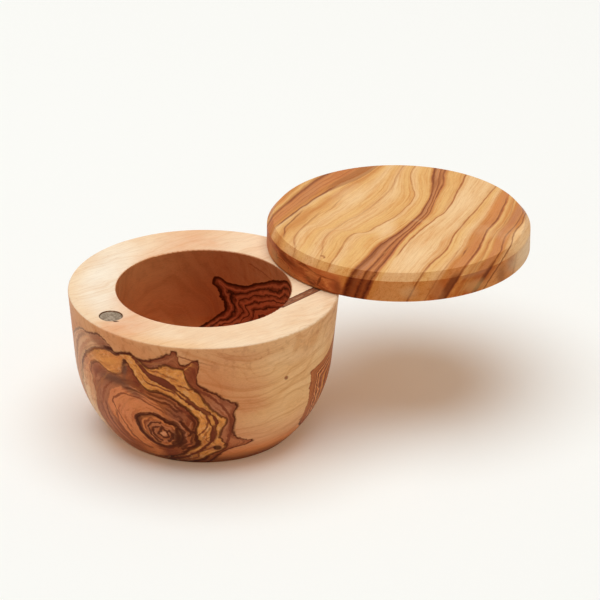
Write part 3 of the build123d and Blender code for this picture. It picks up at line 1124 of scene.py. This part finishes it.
        # Darker and redder down the sides towards the foot: painted contact shade, partly darker wood low
        # on the side
        low = graph.fade(height, 6.0, 27.0) * (1.0 - up)
        foot_shaded = graph.stain(low, mottled, self.lower_wood_and_shade_tint)
        foot_shaded = graph.stain(graph.fade(height, 6.0, 15.0), foot_shaded, self.foot_wood_and_shade_tint)
        foot_shaded = graph.stain(graph.fade(height, 1.5, 8.5), foot_shaded, self.base_wood_and_shade_tint)
        aside, above = right - self.pin_knot[0], height - self.pin_knot[1]
        pin = aside * aside * 3.0 + above * above
        specked = graph.mix(graph.fade(pin, 0.0, 1.6) * wall * 0.85, foot_shaded, self.purple)
        # a fine crack that runs on from the knot's highest spike
        ragged = graph.stir(point, 0.5, 2.0) * 1.6
        crack = graph.fade(abs(height - self.crack_top + right * self.crack_fall + ragged), 0.1, 0.55)
        crack = crack * graph.ease(right, 7.0, 9.0) * graph.fade(right, 14.0, 24.0) * wall
        return graph.mix(crack * 0.7, specked, self.purple)

    def material(self) -> Material:
        """Builds the bowl's wood."""
        graph = Graph.finish("olive_wood_bowl")
        point = graph.position()
        place = self.ring_space(graph, point)
        pale = self.sapwood(graph, point, place)
        knot = self.knot(graph, place)
        outside = len(CONTOURS)
        in_knot = 1.0 - graph.between(place["level"], outside, outside + 0.05)
        depth = self.heart(graph, point)
        kink = graph.stir(point, 0.3, 2.0, 0.6)
        heart = self.heart_figure(graph, point, depth, kink)
        in_heart = graph.between(depth, 0.0, 0.25)
        inside = self.off_axis(graph, point)
        # Inside the cavity the wood takes its own colours as painted shade: deep orange at the left,
        # darkest red-brown towards the right, with grain lines over them
        middle = graph.ease(graph.toward(point, 1.0, 0.0), -30.0, 12.0)
        cavity_shade = graph.stain(0.3, graph.mix(middle, self.inner_pale, self.inner_shade), pale)
        thin = graph.vector(self.layer(graph, point) * 0.3, graph.dot(point, (0.012, 0.0, 0.0)), 2.0)
        lines = graph.noise(thin, 1.0, 3.0, 0.6)
        cavity_shade = graph.stain(graph.ease(lines, 0.44, 0.64, 0.6), cavity_shade, self.inner_tint)
        bare = graph.mix(graph.fade(inside, *self.cavity_edge), pale, cavity_shade)
        on_wall, on_rim = self.heart_outside(graph, depth + kink * self.heart_stirred)
        heart = graph.mix(graph.ease(inside, *self.wall_start), heart, on_wall)
        rim = graph.ease(graph.facing(), 0.5, 0.9) * graph.ease(inside, *self.rim_start)
        heart = graph.mix(rim, heart, on_rim)
        colour = graph.mix(in_heart, graph.mix(in_knot, bare, knot), heart)
        colour = graph.mix(self.worn_pocket(graph, point), colour, self.deep)
        across = graph.dot(point, self.grain_across)
        along = graph.dot(point, EAST)
        deep = graph.dot(point, self.grain_deep)
        fibres = self.fibres(graph, across, along, deep)
        pores = self.pores(graph, across, along, deep)
        return self.dressing(graph, colour, fibres, pores, graph.most(in_knot, in_heart))

    def worn_pocket(self, graph: Graph, point: Socket) -> Value:
        """Marks the dirt round the magnet's pocket and the small chip at its front.

        Args:
            graph: The wood's graph.
            point: Where the wood is, in millimetres.

        Returns:
            How dark the wood is there, from 0 to 1.
        """
        spot = Vector(self.magnet)
        right = graph.toward(point, 1.0, 0.0) - spot.dot(VIEW_RIGHT)
        away = graph.toward(point, 0.0, 1.0) - spot.dot(VIEW_AWAY)
        from_middle = graph.length(right, away)
        ragged = graph.stir(point, 0.9, 2.0)
        ring = graph.fade(from_middle + ragged * 0.8, *self.magnet_ring)
        across = (right - self.chip_place[0]) / self.chip_half[0]
        out = (away - self.chip_place[1]) / self.chip_half[1]
        chip = graph.fade(across * across + out * out + ragged * 2.0, 0.4, 1.3)
        high = graph.ease(graph.dot(point, UP), 57.0, 58.0)
        return graph.most(ring * 0.5, chip * 0.95) * high

    def off_axis(self, graph: Graph, point: Socket) -> Value:
        """Gives the distance from the bowl's axis."""
        return graph.length(graph.dot(point, EAST), graph.dot(point, NORTH))

    def layer(self, graph: Graph, point: Socket) -> Value:
        """Gives the place across the sapwood's gently waving growth layers."""
        return graph.dot(point, self.grain_across) + graph.stir(point, 0.045) * 16.0


# The lid's guide streaks, from left to right: distance along the grain and across it, from the
# lid's middle, in millimetres, and the place that each has once the grain is drawn straight
GUIDES = [
    (-38, [
        (56, -24), (45, -26), (38, -28), (33, -30), (25, -34), (20, -36), (13, -38), (7, -40), (0, -41.5),
        (-5, -43), (-10, -44), (-15, -45), (-20, -46), (-28, -47), (-56, -47),
    ]),
    (-6, [
        (56, -8.8), (45, -8.5), (40, -7), (35, -5), (30, -3), (26, -1), (22, 0), (15, 0.3), (10, -0.5),
        (5, -1), (0, -2), (-5, -4), (-9, -5.5), (-12, -7), (-17, -8.3), (-19, -10), (-20.5, -13),
        (-25, -14.8), (-30, -15), (-35, -14.5), (-56, -14),
    ]),
    (4, [
        (56, -0.6), (48, 1), (42, 2.3), (38, 3.6), (33, 5), (30, 5.5), (25, 6.5), (20, 7), (12, 7.3),
        (8, 7.6), (4, 7.2), (0, 6.5), (-4, 6), (-10, 5), (-15, 4), (-20, 2.5), (-25, 1), (-30, 0),
        (-35, -0.5), (-40, -0.8), (-48, -2), (-56, -3.3),
    ]),
    (9, [
        (56, 5.5), (48, 6.3), (44, 7.5), (38, 9), (30, 9.2), (25, 9.6), (18, 10.3), (12, 11.2), (7, 11.5),
        (0, 10.6), (-5, 10), (-10, 9.5), (-15, 8.7), (-20, 8.3), (-45, 8), (-56, 7.5),
    ]),
    (14, [
        (56, 14.3), (48, 15), (43, 15.5), (35, 16), (28, 16.5), (22, 17), (15, 17), (10, 16.4), (5, 15),
        (0, 14), (-5, 13), (-10, 12), (-15, 11.2), (-20, 10.6), (-32, 10), (-56, 10),
    ]),
    (28, [
        (56, 31), (44, 30.5), (40, 30), (28, 29.4), (20, 29), (13, 28.5), (8, 28), (0, 27.5), (-7, 27),
        (-15, 27.5), (-22, 28), (-28, 27.5), (-34, 26.5), (-40, 25.5), (-56, 25),
    ]),
    (39, [
        (56, 36), (40, 37.2), (30, 38.5), (20, 39.5), (12, 40), (5, 39.5), (0, 39), (-6, 39.5), (-12, 40),
        (-20, 40.5), (-38, 40), (-56, 40),
    ]),
    (49, [
        (56, 46), (28, 47.5), (22, 48.5), (10, 49), (0, 48), (-8, 48.5), (-12, 49), (-17, 50), (-56, 51),
    ]),
]


# Ovals on the lid: place across and along the grain
LID_PATCHES = [
    Patch(-1.5, -13, 3.6, 9, 0, 0.9, "pale", 0.5),
    Patch(17, -36, 7, 15, 0, 0.9, "pale", 0.45),
    Patch(21, 22, 5, 16, 0, 0.9, "pale", 0.4),
    Patch(-27, 14, 6, 11, 0, 0.9, "pale", 0.35),
    Patch(-39.5, -16, 3, 12, 0, 0.7, "orange", 0.75),
    Patch(-52.5, 1, 1.8, 4.5, 0, 0.7, "ember", 0.45),
    Patch(5.2, 42, 1.3, 12, 0, 0.7, "brown", 0.6),
    Patch(36, 24, 2.6, 12, 0, 0.8, "ember", 0.3),
    Patch(53.2, 9, 1.4, 8, 0, 0.7, "pale", 0.35),
    Patch(47, 20, 2.6, 13, 0, 0.8, "mauve", 0.6),
    Patch(45.5, 3, 2.4, 9, 0, 0.8, "mauve", 0.35),
    Patch(-44, 10, 3.2, 16, 0, 0.8, "mauve", 0.4),
    Patch(-19.4, -46.2, 1.3, 0.7, 0, 0.5, "brown", 0.9),
    Patch(-18.2, -47.4, 0.5, 0.9, 0, 0.5, "brown", 0.9),
    Patch(35.9, -23.5, 0.4, 2.2, 0, 0.5, "brown", 0.95),
]


# Ovals round the lid's wall: angle from the front towards the right, and depth below the top
WALL_PATCHES = [
    Patch(-60, 5.4, 5, 1.6, 8, 0.8, "wine", 0.85),
    Patch(-52, 6.2, 7, 1.8, 10, 0.8, "wine", 0.8),
    Patch(-57, 5.8, 7, 0.8, 9, 0.7, "dark", 0.6),
    Patch(-69, 9, 4, 2.5, 0, 0.9, "gold", 0.5),
    Patch(-56, 10.4, 7, 1.2, 6, 0.9, "ember", 0.5),
    Patch(-50, 9, 5, 2.4, 10, 0.8, "rust", 0.6),
    Patch(-41, 6.6, 2.6, 3, 20, 0.9, "ember", 0.45),
    Patch(-41.5, 10.6, 2.4, 0.8, 14, 0.6, "dark", 0.75),
    Patch(-37, 8.2, 0.6, 2.6, 24, 0.5, "dark", 0.8),
    Patch(-28.5, 9.5, 3.5, 4.5, 0, 0.8, "wine", 0.85),
    Patch(-27.5, 10, 1.6, 3.5, -12, 0.8, "dark", 0.4),
    Patch(49.5, 9, 3.5, 5, -10, 0.8, "brown", 0.75),
    Patch(60, 8, 1, 5, 24, 0.8, "brown", 0.6),
    Patch(57, 6, 4.5, 4, 0, 0.9, "mauve", 0.75),
    Patch(4, 8, 4, 3, 0, 0.8, "cream", 0.3),
    Patch(16, 8, 3, 6, -8, 0.7, "red", 0.4),
    Patch(34, 9, 6, 3, 0, 0.8, "gold", 0.4),
    # a painted sheen at the right end of the wall
    Patch(72, 7, 14, 6, 0, 0.8, "pale", 0.7),
]


@dataclass(frozen=True)
class Streak:
    """One thin dark line of the lid's figure, sharp on its left and fading to its right."""

    place: float | list[Point]
    sharp: float
    trail: float
    strength: float
    ends: Point = ACROSS
    deep: bool = False


# The thin dark lines of the lid, from left to right
STREAKS = [
    Streak(-51.5, 0.3, 0.9, 0.5, (-60, 10)),
    Streak(-47.2, 0.5, 1.6, 0.75, (-20, 60), True),
    Streak(-44.6, 0.25, 0.7, 0.5, (-40, 34)),
    Streak(-42.4, 0.3, 0.6, 0.6, (-12, 50)),
    Streak(-40.3, 0.25, 0.8, 0.45, (-30, 26)),
    Streak(-38, 0.4, 1.2, 0.85, (-25, 22), True),
    Streak([
        (10, -41), (-10, -41.5), (-15, -42), (-25, -43), (-30, -41.5), (-56, -38),
    ], 0.4, 0.9, 0.75, (-33, -8), True),
    Streak([
        (56, -38), (20, -38), (0, -33), (-8, -34), (-15, -35), (-22, -36), (-30, -36.5), (-37, -35),
        (-42, -33), (-56, -29),
    ], 0.4, 1.4, 0.55, (-50, -6)),
    Streak([(56, -20), (20, -29), (7, -29.5), (0, -30), (-3, -31), (-56, -40)], 0.3, 1, 0.4, (-6, 12)),
    Streak([
        (56, -13.6), (40, -13.4), (30, -12), (20, -12.5), (10, -14), (5, -15), (-3, -17), (-10, -20),
        (-18, -22), (-25, -24), (-35, -23), (-42, -21), (-56, -19),
    ], 0.35, 1.1, 0.38),
    Streak(-6, 0.3, 0.8, 0.6, (-56, 60)),
    Streak(14, 0.35, 0.8, 0.95, (-36, 60)),
    Streak(28, 0.4, 0.8, 0.9),
    Streak([(56, 33), (-20, 33), (-30, 33), (-40, 32.5), (-56, 32)], 0.3, 0.8, 0.45, (-60, -20)),
    Streak([(56, 36), (0, 36), (-20, 36), (-26, 36), (-56, 36)], 0.35, 0.6, 0.7, (-27, -19), True),
    Streak(39, 0.45, 0.9, 0.85, (-60, 34), True),
    Streak([
        (56, 40), (37, 41), (30, 42), (24, 43), (15, 44), (8, 44), (0, 43), (-10, 43), (-18, 44),
        (-25, 44.5), (-56, 45),
    ], 0.3, 0.9, 0.5),
    Streak(49, 0.4, 0.8, 0.8, ACROSS, True),
    Streak([
        (56, 49), (25, 50), (18, 50.2), (12, 51), (5, 50.6), (-2, 51), (-10, 52.5), (-18, 53), (-56, 54),
    ], 0.35, 0.7, 0.75, (-60, 60), True),
]


@dataclass(frozen=True)
class LidWood(OiledWood):
    """Golden wood with long dark streaks that run together and bend across the lid."""

    middle: Triple = (91.967, -13.335, 75.7)
    lean: float = 0.38
    left_end: float = -2.0
    right_start: float = 30.0
    left_band: float = -38.0
    curl_slope: float = 0.22
    curl_start: float = 12.5
    pale: Triple = (0.93, 0.66, 0.37)
    cream: Triple = (0.85, 0.545, 0.26)
    gold: Triple = (0.81, 0.475, 0.172)
    orange: Triple = (0.62, 0.26, 0.068)
    red: Triple = (0.61, 0.235, 0.078)
    brown: Triple = (0.38, 0.125, 0.032)
    dark: Triple = (0.2, 0.042, 0.008)
    ember: Triple = (0.76, 0.27, 0.075)
    mauve: Triple = (0.5, 0.21, 0.09)
    line: Triple = (0.38, 0.11, 0.024)
    rust: Triple = (0.65, 0.165, 0.043)
    wine: Triple = (0.42, 0.09, 0.024)
    # Wall tints: the first partly oil and partly painted shade, the second a painted sheen at the right end
    wall_oil_and_shade: Triple = (0.9, 0.56, 0.33)
    right_sheen: Triple = (1.0, 0.84, 0.74)
    cloud_tint: Triple = (0.93, 0.8, 0.66)
    line_tint: Triple = (0.84, 0.62, 0.42)
    fleck_tint: Triple = (0.88, 0.74, 0.6)
    streak_tint: Triple = (0.55, 0.45, 0.42)
    grain_along: Point = (0.304, 0.953)
    grain_across: Point = (0.953, -0.304)

    def straighten(self, graph: Graph, across: Value, along: Value) -> Value:
        """Gives the place across the grain after the guide streaks are drawn straight.

        Args:
            graph: The wood's graph.
            across: Distance across the grain.
            along: Distance along it.

        Returns:
            The place, from -60 to 60.
        """
        last = start = total = ACROSS[0]
        for place, points in GUIDES:
            edge = graph.curve(along, points, ACROSS, ACROSS)
            total = graph.between(across, last, edge) * (place - start) + total
            last, start = edge, place
        return graph.between(across, last, ACROSS[1]) * (ACROSS[1] - start) + total

    def ground(self, graph: Graph, place: Value, along: Value) -> Socket:
        """Colours the broad bands between the thin lines.

        Args:
            graph: The wood's graph.
            place: The straightened place across the grain.
            along: Distance along it.

        Returns:
            The colour.
        """
        left = [
            (-60, self.orange), (-52, self.orange), (-49, self.gold), (-47.5, self.brown), (-46, self.red),
            (-42, self.red), (-40, self.orange), (-38.3, self.orange), (-37.4, self.cream),
            (-35.5, self.gold), (-33, self.orange), (-30, self.gold), (-25, self.cream), (-20, self.gold),
            (-15, self.cream), (-10, self.gold), (-6, self.gold), (-5, self.cream), (-2, self.gold),
        ]
        middle = [
            (-2, self.gold), (2.4, self.gold), (3.4, self.orange), (3.9, self.brown), (4.3, self.dark),
            (4.8, self.brown), (5.3, self.mauve), (6.2, self.red), (6.45, self.brown), (6.65, self.dark),
            (6.9, self.brown), (7.6, self.red), (8.1, self.brown), (8.4, self.dark), (8.8, self.red),
            (9.2, self.orange), (10.2, self.gold), (13.2, self.gold), (15, self.cream), (21, self.cream),
            (27, self.cream), (29, self.gold), (30, self.gold),
        ]
        right = [
            (30, self.gold), (33, self.cream), (34.6, self.orange), (38, self.red), (39.5, self.red),
            (40.5, self.gold), (42.5, self.orange), (43.5, self.gold), (45, self.orange), (46, self.red),
            (49.5, self.red), (50.4, self.orange), (52, self.cream), (60, self.cream),
        ]
        first = graph.ramp(place, left, (ACROSS[0], self.left_end))
        second = graph.ramp(place, middle, (self.left_end, self.right_start))
        third = graph.ramp(place, right, (self.right_start, ACROSS[1]))
        joined = graph.mix(graph.between(place, self.left_end - 0.1, self.left_end + 0.1), first, second)
        start = graph.between(place, self.right_start - 0.1, self.right_start + 0.1)
        joined = graph.mix(start, joined, third)
        wide = graph.ease(along, 2.0, 34.0, 3.6)
        band = graph.between(wide - abs(place - self.left_band), 0.0, 0.9)
        return graph.mix(band * 0.72, joined, self.brown)

    def wall_figure(
        self, graph: Graph, colour: object, place: Value, turn: Value, sink: Value, wall: Value, curl: Value
    ) -> Socket:
        """Adds what shows on the wall alone: curling lines at the left, painted contact shade along the
        bottom edge at the left front, and dark bands at the right.

        Args:
            graph: The wood's graph.
            colour: The colour below.
            place: The straightened place across the grain.
            turn: Angle round the lid, from the front towards the right.
            sink: Depth below the top.
            wall: How much of the surface is wall.
            curl: How much the lines stray.

        Returns:
            The colour.
        """
        stops = [
            (-5, self.ember), (-1.5, self.rust), (0.6, self.rust), (1.4, self.wine), (1.8, self.dark),
            (2.2, self.wine), (3.6, self.rust), (4.2, self.ember), (4.5, self.rust), (5.6, self.wine),
            (5.9, self.dark), (6.3, self.wine), (8, self.rust), (9, self.ember), (9.3, self.dark),
            (9.7, self.rust), (12, self.ember),
        ]
        drop = sink - turn * self.curl_slope - self.curl_start + curl * 14.0
        curls = graph.ramp(drop, stops, (-5.0, 12.0))
        cover = graph.ease(turn, -88.0, -70.0) * graph.fade(turn, -29.0, -23.0) * graph.ease(sink, 1.4, 3.4)
        colour = graph.mix(cover * wall * 0.9, colour, curls)
        # Painted contact shade: the bottom edge of the wall darkens at the left front, where the lid sits
        # over the rim
        worn = graph.ease(sink, 11.2, 12.2) * graph.ease(turn, -84.0, -70.0)
        worn = worn * graph.fade(turn, -26.0, -18.0)
        colour = graph.mix(worn * wall * 0.6, colour, self.dark)
        below = graph.ease(sink, 0.6, 3.5)
        for low, high, strength in ((36.6, 39.4, 0.8), (47.6, 49.5, 0.8)):
            band = graph.between(place, low, low + 0.8) * (1.0 - graph.between(place, high, high + 0.5))
            colour = graph.mix(band * below * strength, colour, self.dark)
        bruised = graph.ease(place, 39.5, 42.0) * graph.fade(place, 47.0, 49.0) * graph.fade(sink, 3.0, 6.0)
        return graph.mix(bruised * wall * 0.6, colour, self.mauve)

    def material(self) -> Material:
        """Builds the lid's wood."""
        graph = Graph.finish("olive_wood_lid")
        point = graph.position()
        middle = graph.vector_math("SUBTRACT", {0: point, 1: self.middle}).outputs[0]
        sink = -graph.dot(middle, UP)
        along = graph.toward(middle, *self.grain_along)
        flat = graph.toward(middle, *self.grain_across)
        grain = graph.vector(flat * 0.45, along * 0.13, sink * 0.45)
        wobble = graph.stir(grain, 1.0, 3.0, 0.6)
        across = flat + sink * (flat * 0.004 + self.lean) + wobble * 1.1
        place = self.straighten(graph, across, along)
        colour = self.ground(graph, place, along)
        cloud = graph.noise(graph.vector(place * 0.16, along * 0.035, sink * 0.1), 1.0, 3.0, 0.6)
        colour = graph.stain(graph.ease(cloud, 0.4, 0.7, 0.55), colour, self.cloud_tint)
        lines = graph.noise(graph.vector(place * 0.8, along * 0.02, sink * 0.5), 1.0, 3.0, 0.65)
        colour = graph.stain(graph.ease(lines, 0.48, 0.7, 0.75), colour, self.line_tint)
        narrow = abs(graph.stir(graph.vector(place * 0.55, along * 0.014, sink * 0.4), 1.0, 2.0, 0.6))
        colour = graph.mix(graph.fade(narrow, 0.0, 0.03, 0.4), colour, self.orange)
        fleck = graph.noise(graph.vector(flat * 1.3, along * 0.5, sink * 1.3), 1.0, 2.0, 0.6)
        colour = graph.stain(graph.ease(fleck, 0.5, 0.68, 0.3), colour, self.fleck_tint)
        ragged = graph.stir(graph.vector(flat * 0.4, along * 0.1, sink * 0.4), 1.0, 3.0, 0.6) * 1.2
        colour = self.ovals(graph, colour, LID_PATCHES, graph.vector(across, along, 0.0), ragged)
        patchy = graph.noise(graph.vector(flat * 0.1, along * 0.07, sink * 0.1), 1.0, 2.0)
        patchy = graph.ease(patchy, 0.2, 0.62, 0.4) + 0.6
        for streak in STREAKS:
            if isinstance(streak.place, list):
                offset = across - graph.curve(along, streak.place, ACROSS, ACROSS)
            else:
                offset = place - streak.place
            shown = patchy
            if streak.ends != ACROSS:
                low, high = streak.ends
                window = [(low - 3.0, 0.0), (low + 4.0, 1.0), (high - 4.0, 1.0), (high + 3.0, 0.0)]
                window = [(min(max(spot, ACROSS[0]), ACROSS[1]), part) for spot, part in window]
                shown = patchy * graph.curve(along, window, ACROSS, UNIT, Bend.SHARP)
            trail = graph.fade(offset, 0.1, streak.trail, streak.strength)
            mask = graph.ease(offset, -streak.sharp, 0.0) * trail
            halo = graph.ease(offset, -2.6, 0.0) * graph.fade(offset, 0.0, 0.6, streak.strength * 0.5)
            colour = graph.mix(halo * shown, colour, self.orange)
            colour = graph.mix(mask * shown, colour, self.dark if streak.deep else self.line)
        wall = graph.fade(graph.facing(), 0.1, 0.95)
        level_right = graph.toward(middle, 1.0, 0.0)
        level_front = graph.toward(middle, 0.0, -1.0)
        turn = graph.math("ARCTAN2", level_right, level_front) * (TURN / math.tau)
        # The walls are stained darker and redder than the top, partly oil and partly painted shade, and
        # paler and greyer at the right end as a painted sheen
        right_sheen_share = graph.ease(turn, 54.0, 66.0)
        oil = graph.mix(right_sheen_share, self.wall_oil_and_shade, self.right_sheen)
        colour = graph.stain(wall, colour, oil)
        curl = graph.stir(graph.vector(turn * 0.07, sink * 0.25, 0.0), 1.0, 3.0, 0.6)
        colour = self.wall_figure(graph, colour, place, turn, sink, wall, curl)
        colour = self.ovals(graph, colour, WALL_PATCHES, graph.vector(turn, sink, 0.0), ragged * 0.6)
        in_main = graph.between(place, 2.8, 3.6) * (1.0 - graph.between(place, 8.8, 9.4))
        colour = graph.stain(in_main * wall * 0.8, colour, self.streak_tint)
        fibres = self.fibres(graph, place, along, sink)
        pores = self.pores(graph, place, along, sink)
        return self.dressing(graph, colour, fibres, pores)


@dataclass(frozen=True)
class WornMetal:
    """Bare or plated metal with a turned or drawn texture and dull, mottled wear."""

    name: str
    bright: Triple
    dull: Triple
    roughness: float
    lined: Triple = (1.0, 1.0, 1.0)
    scratch: float = 0.00001

    def material(self) -> Material:
        """Builds the metal."""
        graph = Graph.finish(self.name)
        point = graph.position()
        cloud = graph.noise(point, 0.9, 4.0, 0.65)
        speck = graph.noise(point, 6.0, 2.0, 0.6)
        stretched = graph.vector_math("MULTIPLY", {0: point, 1: self.lined}).outputs[0]
        lines = graph.noise(stretched, 7.0, 2.0, 0.6)
        worn = graph.ease(cloud, 0.38, 0.64)
        colour = graph.mix(worn, self.dull, self.bright)
        colour = graph.mix(graph.ease(speck, 0.62, 0.75, 0.6), colour, shade(self.dull, 0.5))
        rough = self.roughness + (1.0 - worn) * 0.16 + (lines - 0.5) * 0.2
        normal = graph.bump(lines + speck * 0.5, self.scratch, 0.8)
        return graph.surface(Base_Color=colour, Metallic=1.0, Roughness=rough, Normal=normal)


@dataclass(frozen=True)
class NaturalPlastic:
    """Milky plastic, moulded matt, rubbed smoother where the lid has turned on it."""

    milky: Triple = (0.8, 0.78, 0.7)
    stained: Triple = (0.66, 0.58, 0.44)

    def material(self) -> Material:
        """Builds the plastic."""
        graph = Graph.finish("washer_plastic")
        point = graph.position()
        cloud = graph.noise(point, 0.7, 3.0, 0.6)
        grit = graph.noise(point, 9.0, 2.0, 0.5)
        colour = graph.mix(graph.ease(cloud, 0.45, 0.75, 0.7), self.milky, self.stained)
        rubbed = graph.ease(graph.facing(), 0.6, 1.0)
        rough = 0.55 - rubbed * 0.14 + (grit - 0.5) * 0.12
        normal = graph.bump(grit, 0.00001, 0.6)
        return graph.surface(Base_Color=colour, Roughness=rough, Normal=normal)


@dataclass
class Studio:
    """The floor, the lamps and the camera."""

    floor_span: float = 6.0
    floor_sink: float = 0.0001
    white: Triple = (0.9, 0.895, 0.87)
    seen_white: Triple = (0.742, 0.845, 0.868)
    seen_lift: Triple = (0.205, 0.1, 0.042)
    paper_tint: Triple = (0.86, 0.85, 0.82)
    sky: Triple = (1.0, 0.995, 0.98)
    lamp_height: float = 2.4
    lamp_half_angle: float = 31.0
    lamp_left: float = 4.0
    lamp_back: float = 3.0
    lamp_level: float = 0.74
    fill_level: float = 0.31
    focal: float = 325.7
    sensor: float = 36.0
    clip: Point = (0.05, 50.0)
    distance: float = 2.28
    elevation: float = 26.19
    roll: float = 0.51
    target: Triple = (0.04049, 0.0, 0.05757)

    def floor(self) -> None:
        """Lays the pale floor, whose white has a warm lift that only the camera sees."""
        half = self.floor_span / 2
        low = -self.floor_sink
        mesh = bpy.data.meshes.new("studio_floor")
        corners = [(-half, -half, low), (half, -half, low), (half, half, low), (-half, half, low)]
        mesh.from_pydata(corners, [], [(0, 1, 2, 3)])
        sheet = bpy.data.objects.new("studio_floor", mesh)
        bpy.context.scene.collection.objects.link(sheet)
        graph = Graph.finish("studio_floor")
        paper = graph.noise(graph.position(), 0.9, 2.0)
        direct = Value(graph, graph.node("ShaderNodeLightPath").outputs["Is Camera Ray"])
        sheet_white = graph.mix(direct, self.white, self.seen_white)
        lift = graph.mix(direct, (0.0, 0.0, 0.0), self.seen_lift)
        colour = graph.stain(paper * 0.03, sheet_white, self.paper_tint)
        made = graph.surface(
            Base_Color=colour, Roughness=0.9, Specular_IOR_Level=0.1, Emission_Color=lift,
            Emission_Strength=1.0,
        )
        mesh.materials.append(made)
        LOG.info("floor laid")

    def lamps(self) -> None:
        """Hangs a large soft lamp over the box and fills the room with soft light."""
        half = math.radians(self.lamp_half_angle)
        lamp = bpy.data.lights.new("overhead_softbox", "AREA")
        lamp.shape = "DISK"
        lamp.size = 2 * self.lamp_height * math.tan(half)
        lamp.energy = self.lamp_level * (math.pi * self.lamp_height / math.cos(half)) ** 2
        lean = seen(-math.tan(math.radians(self.lamp_left)), math.tan(math.radians(self.lamp_back)), 1.0)
        lean.normalize()
        made = bpy.data.objects.new("overhead_softbox", lamp)
        made.location = seen(*self.target) + lean * self.lamp_height
        made.rotation_mode = "QUATERNION"
        made.rotation_quaternion = lean.to_track_quat("Z", "Y")
        bpy.context.scene.collection.objects.link(made)
        LOG.info("softbox hung")
        bpy.context.scene.world = bpy.data.worlds.new("studio")
        graph = Graph(bpy.context.scene.world)
        path = graph.node("ShaderNodeLightPath").outputs
        camera, glossy, through = (path[f"Is {kind} Ray"] for kind in ("Camera", "Glossy", "Transmission"))
        direct = graph.most(graph.most(camera, glossy), through)
        level = direct * (1.0 - self.fill_level) + self.fill_level
        sky = graph.node("ShaderNodeBackground", None, {"Color": (*self.sky, 1.0), "Strength": level})
        graph.node("ShaderNodeOutputWorld", None, {"Surface": sky.outputs[0]})

    def camera(self) -> None:
        """Sets the camera where the photograph was taken from."""
        lens = bpy.data.cameras.new("camera")
        lens.lens = self.focal
        lens.sensor_width = self.sensor
        lens.clip_start, lens.clip_end = self.clip
        rise = math.radians(self.elevation)
        tip = math.radians(self.roll)
        away = seen(0.0, math.cos(rise), -math.sin(rise))
        level_right = seen(1.0, 0.0)
        level_up = seen(0.0, math.sin(rise), math.cos(rise))
        right = level_right * math.cos(tip) + level_up * math.sin(tip)
        upward = level_up * math.cos(tip) - level_right * math.sin(tip)
        aim = seen(*self.target)
        turn = Matrix((right, upward, -away)).transposed()
        made = bpy.data.objects.new("camera", lens)
        made.matrix_world = Matrix.Translation(aim - away * self.distance) @ turn.to_4x4()
        bpy.context.scene.collection.objects.link(made)
        bpy.context.scene.camera = made
        LOG.info("camera set")


@dataclass
class Pivot:
    """The pin that the lid turns on, the sleeve round it and the washer between bowl and lid."""

    steel: WornMetal = WornMetal("pin_steel", (0.62, 0.62, 0.63), (0.42, 0.41, 0.4), 0.24, (1, 1, 0.12))
    brass: WornMetal = WornMetal("sleeve_brass", (0.78, 0.57, 0.27), (0.5, 0.33, 0.14), 0.3, (1, 1, 0.1))
    plastic: NaturalPlastic = NaturalPlastic()

    def dress(self) -> None:
        """Gives each piece its finish."""
        dress_node("pivot_pin", self.steel.material())
        dress_node("pivot_sleeve", self.brass.material())
        dress_node("thrust_washer", self.plastic.material())


@dataclass
class Catch:
    """The two magnets that hold the lid shut."""

    plating: WornMetal = WornMetal("magnet_plating", (0.34, 0.265, 0.19), (0.18, 0.13, 0.085), 0.45)

    def dress(self) -> None:
        """Gives both magnets the same worn plating."""
        finish = self.plating.material()
        dress_node("bowl_magnet", finish)
        dress_node("lid_magnet", finish)


@dataclass
class Bowl:
    """The turned bowl."""

    node: str = "bowl"
    wood: BowlWood = field(default_factory=BowlWood)

    def dress(self) -> None:
        """Gives the bowl its wood."""
        dress_node(self.node, self.wood.material())


@dataclass
class Lid:
    """The turned lid."""

    node: str = "lid"
    wood: LidWood = field(default_factory=LidWood)

    def dress(self) -> None:
        """Gives the lid its wood."""
        dress_node(self.node, self.wood.material())


def dress_node(name: str, material: Material) -> None:
    """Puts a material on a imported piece.

    Args:
        name: The piece's node.
        material: Its finish.
    """
    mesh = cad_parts[name].data
    mesh.materials.clear()
    mesh.materials.append(material)
    LOG.info("%s dressed in %s", name, material.name)


def main() -> None:
    """Builds and dresses the box and its studio."""
    logging.basicConfig(level=logging.INFO)
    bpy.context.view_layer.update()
    bpy.context.scene.view_settings.view_transform = "Standard"
    Bowl().dress()
    Lid().dress()
    Pivot().dress()
    Catch().dress()
    studio = Studio()
    studio.floor()
    studio.lamps()
    studio.camera()


if __name__ == "__main__":
    main()
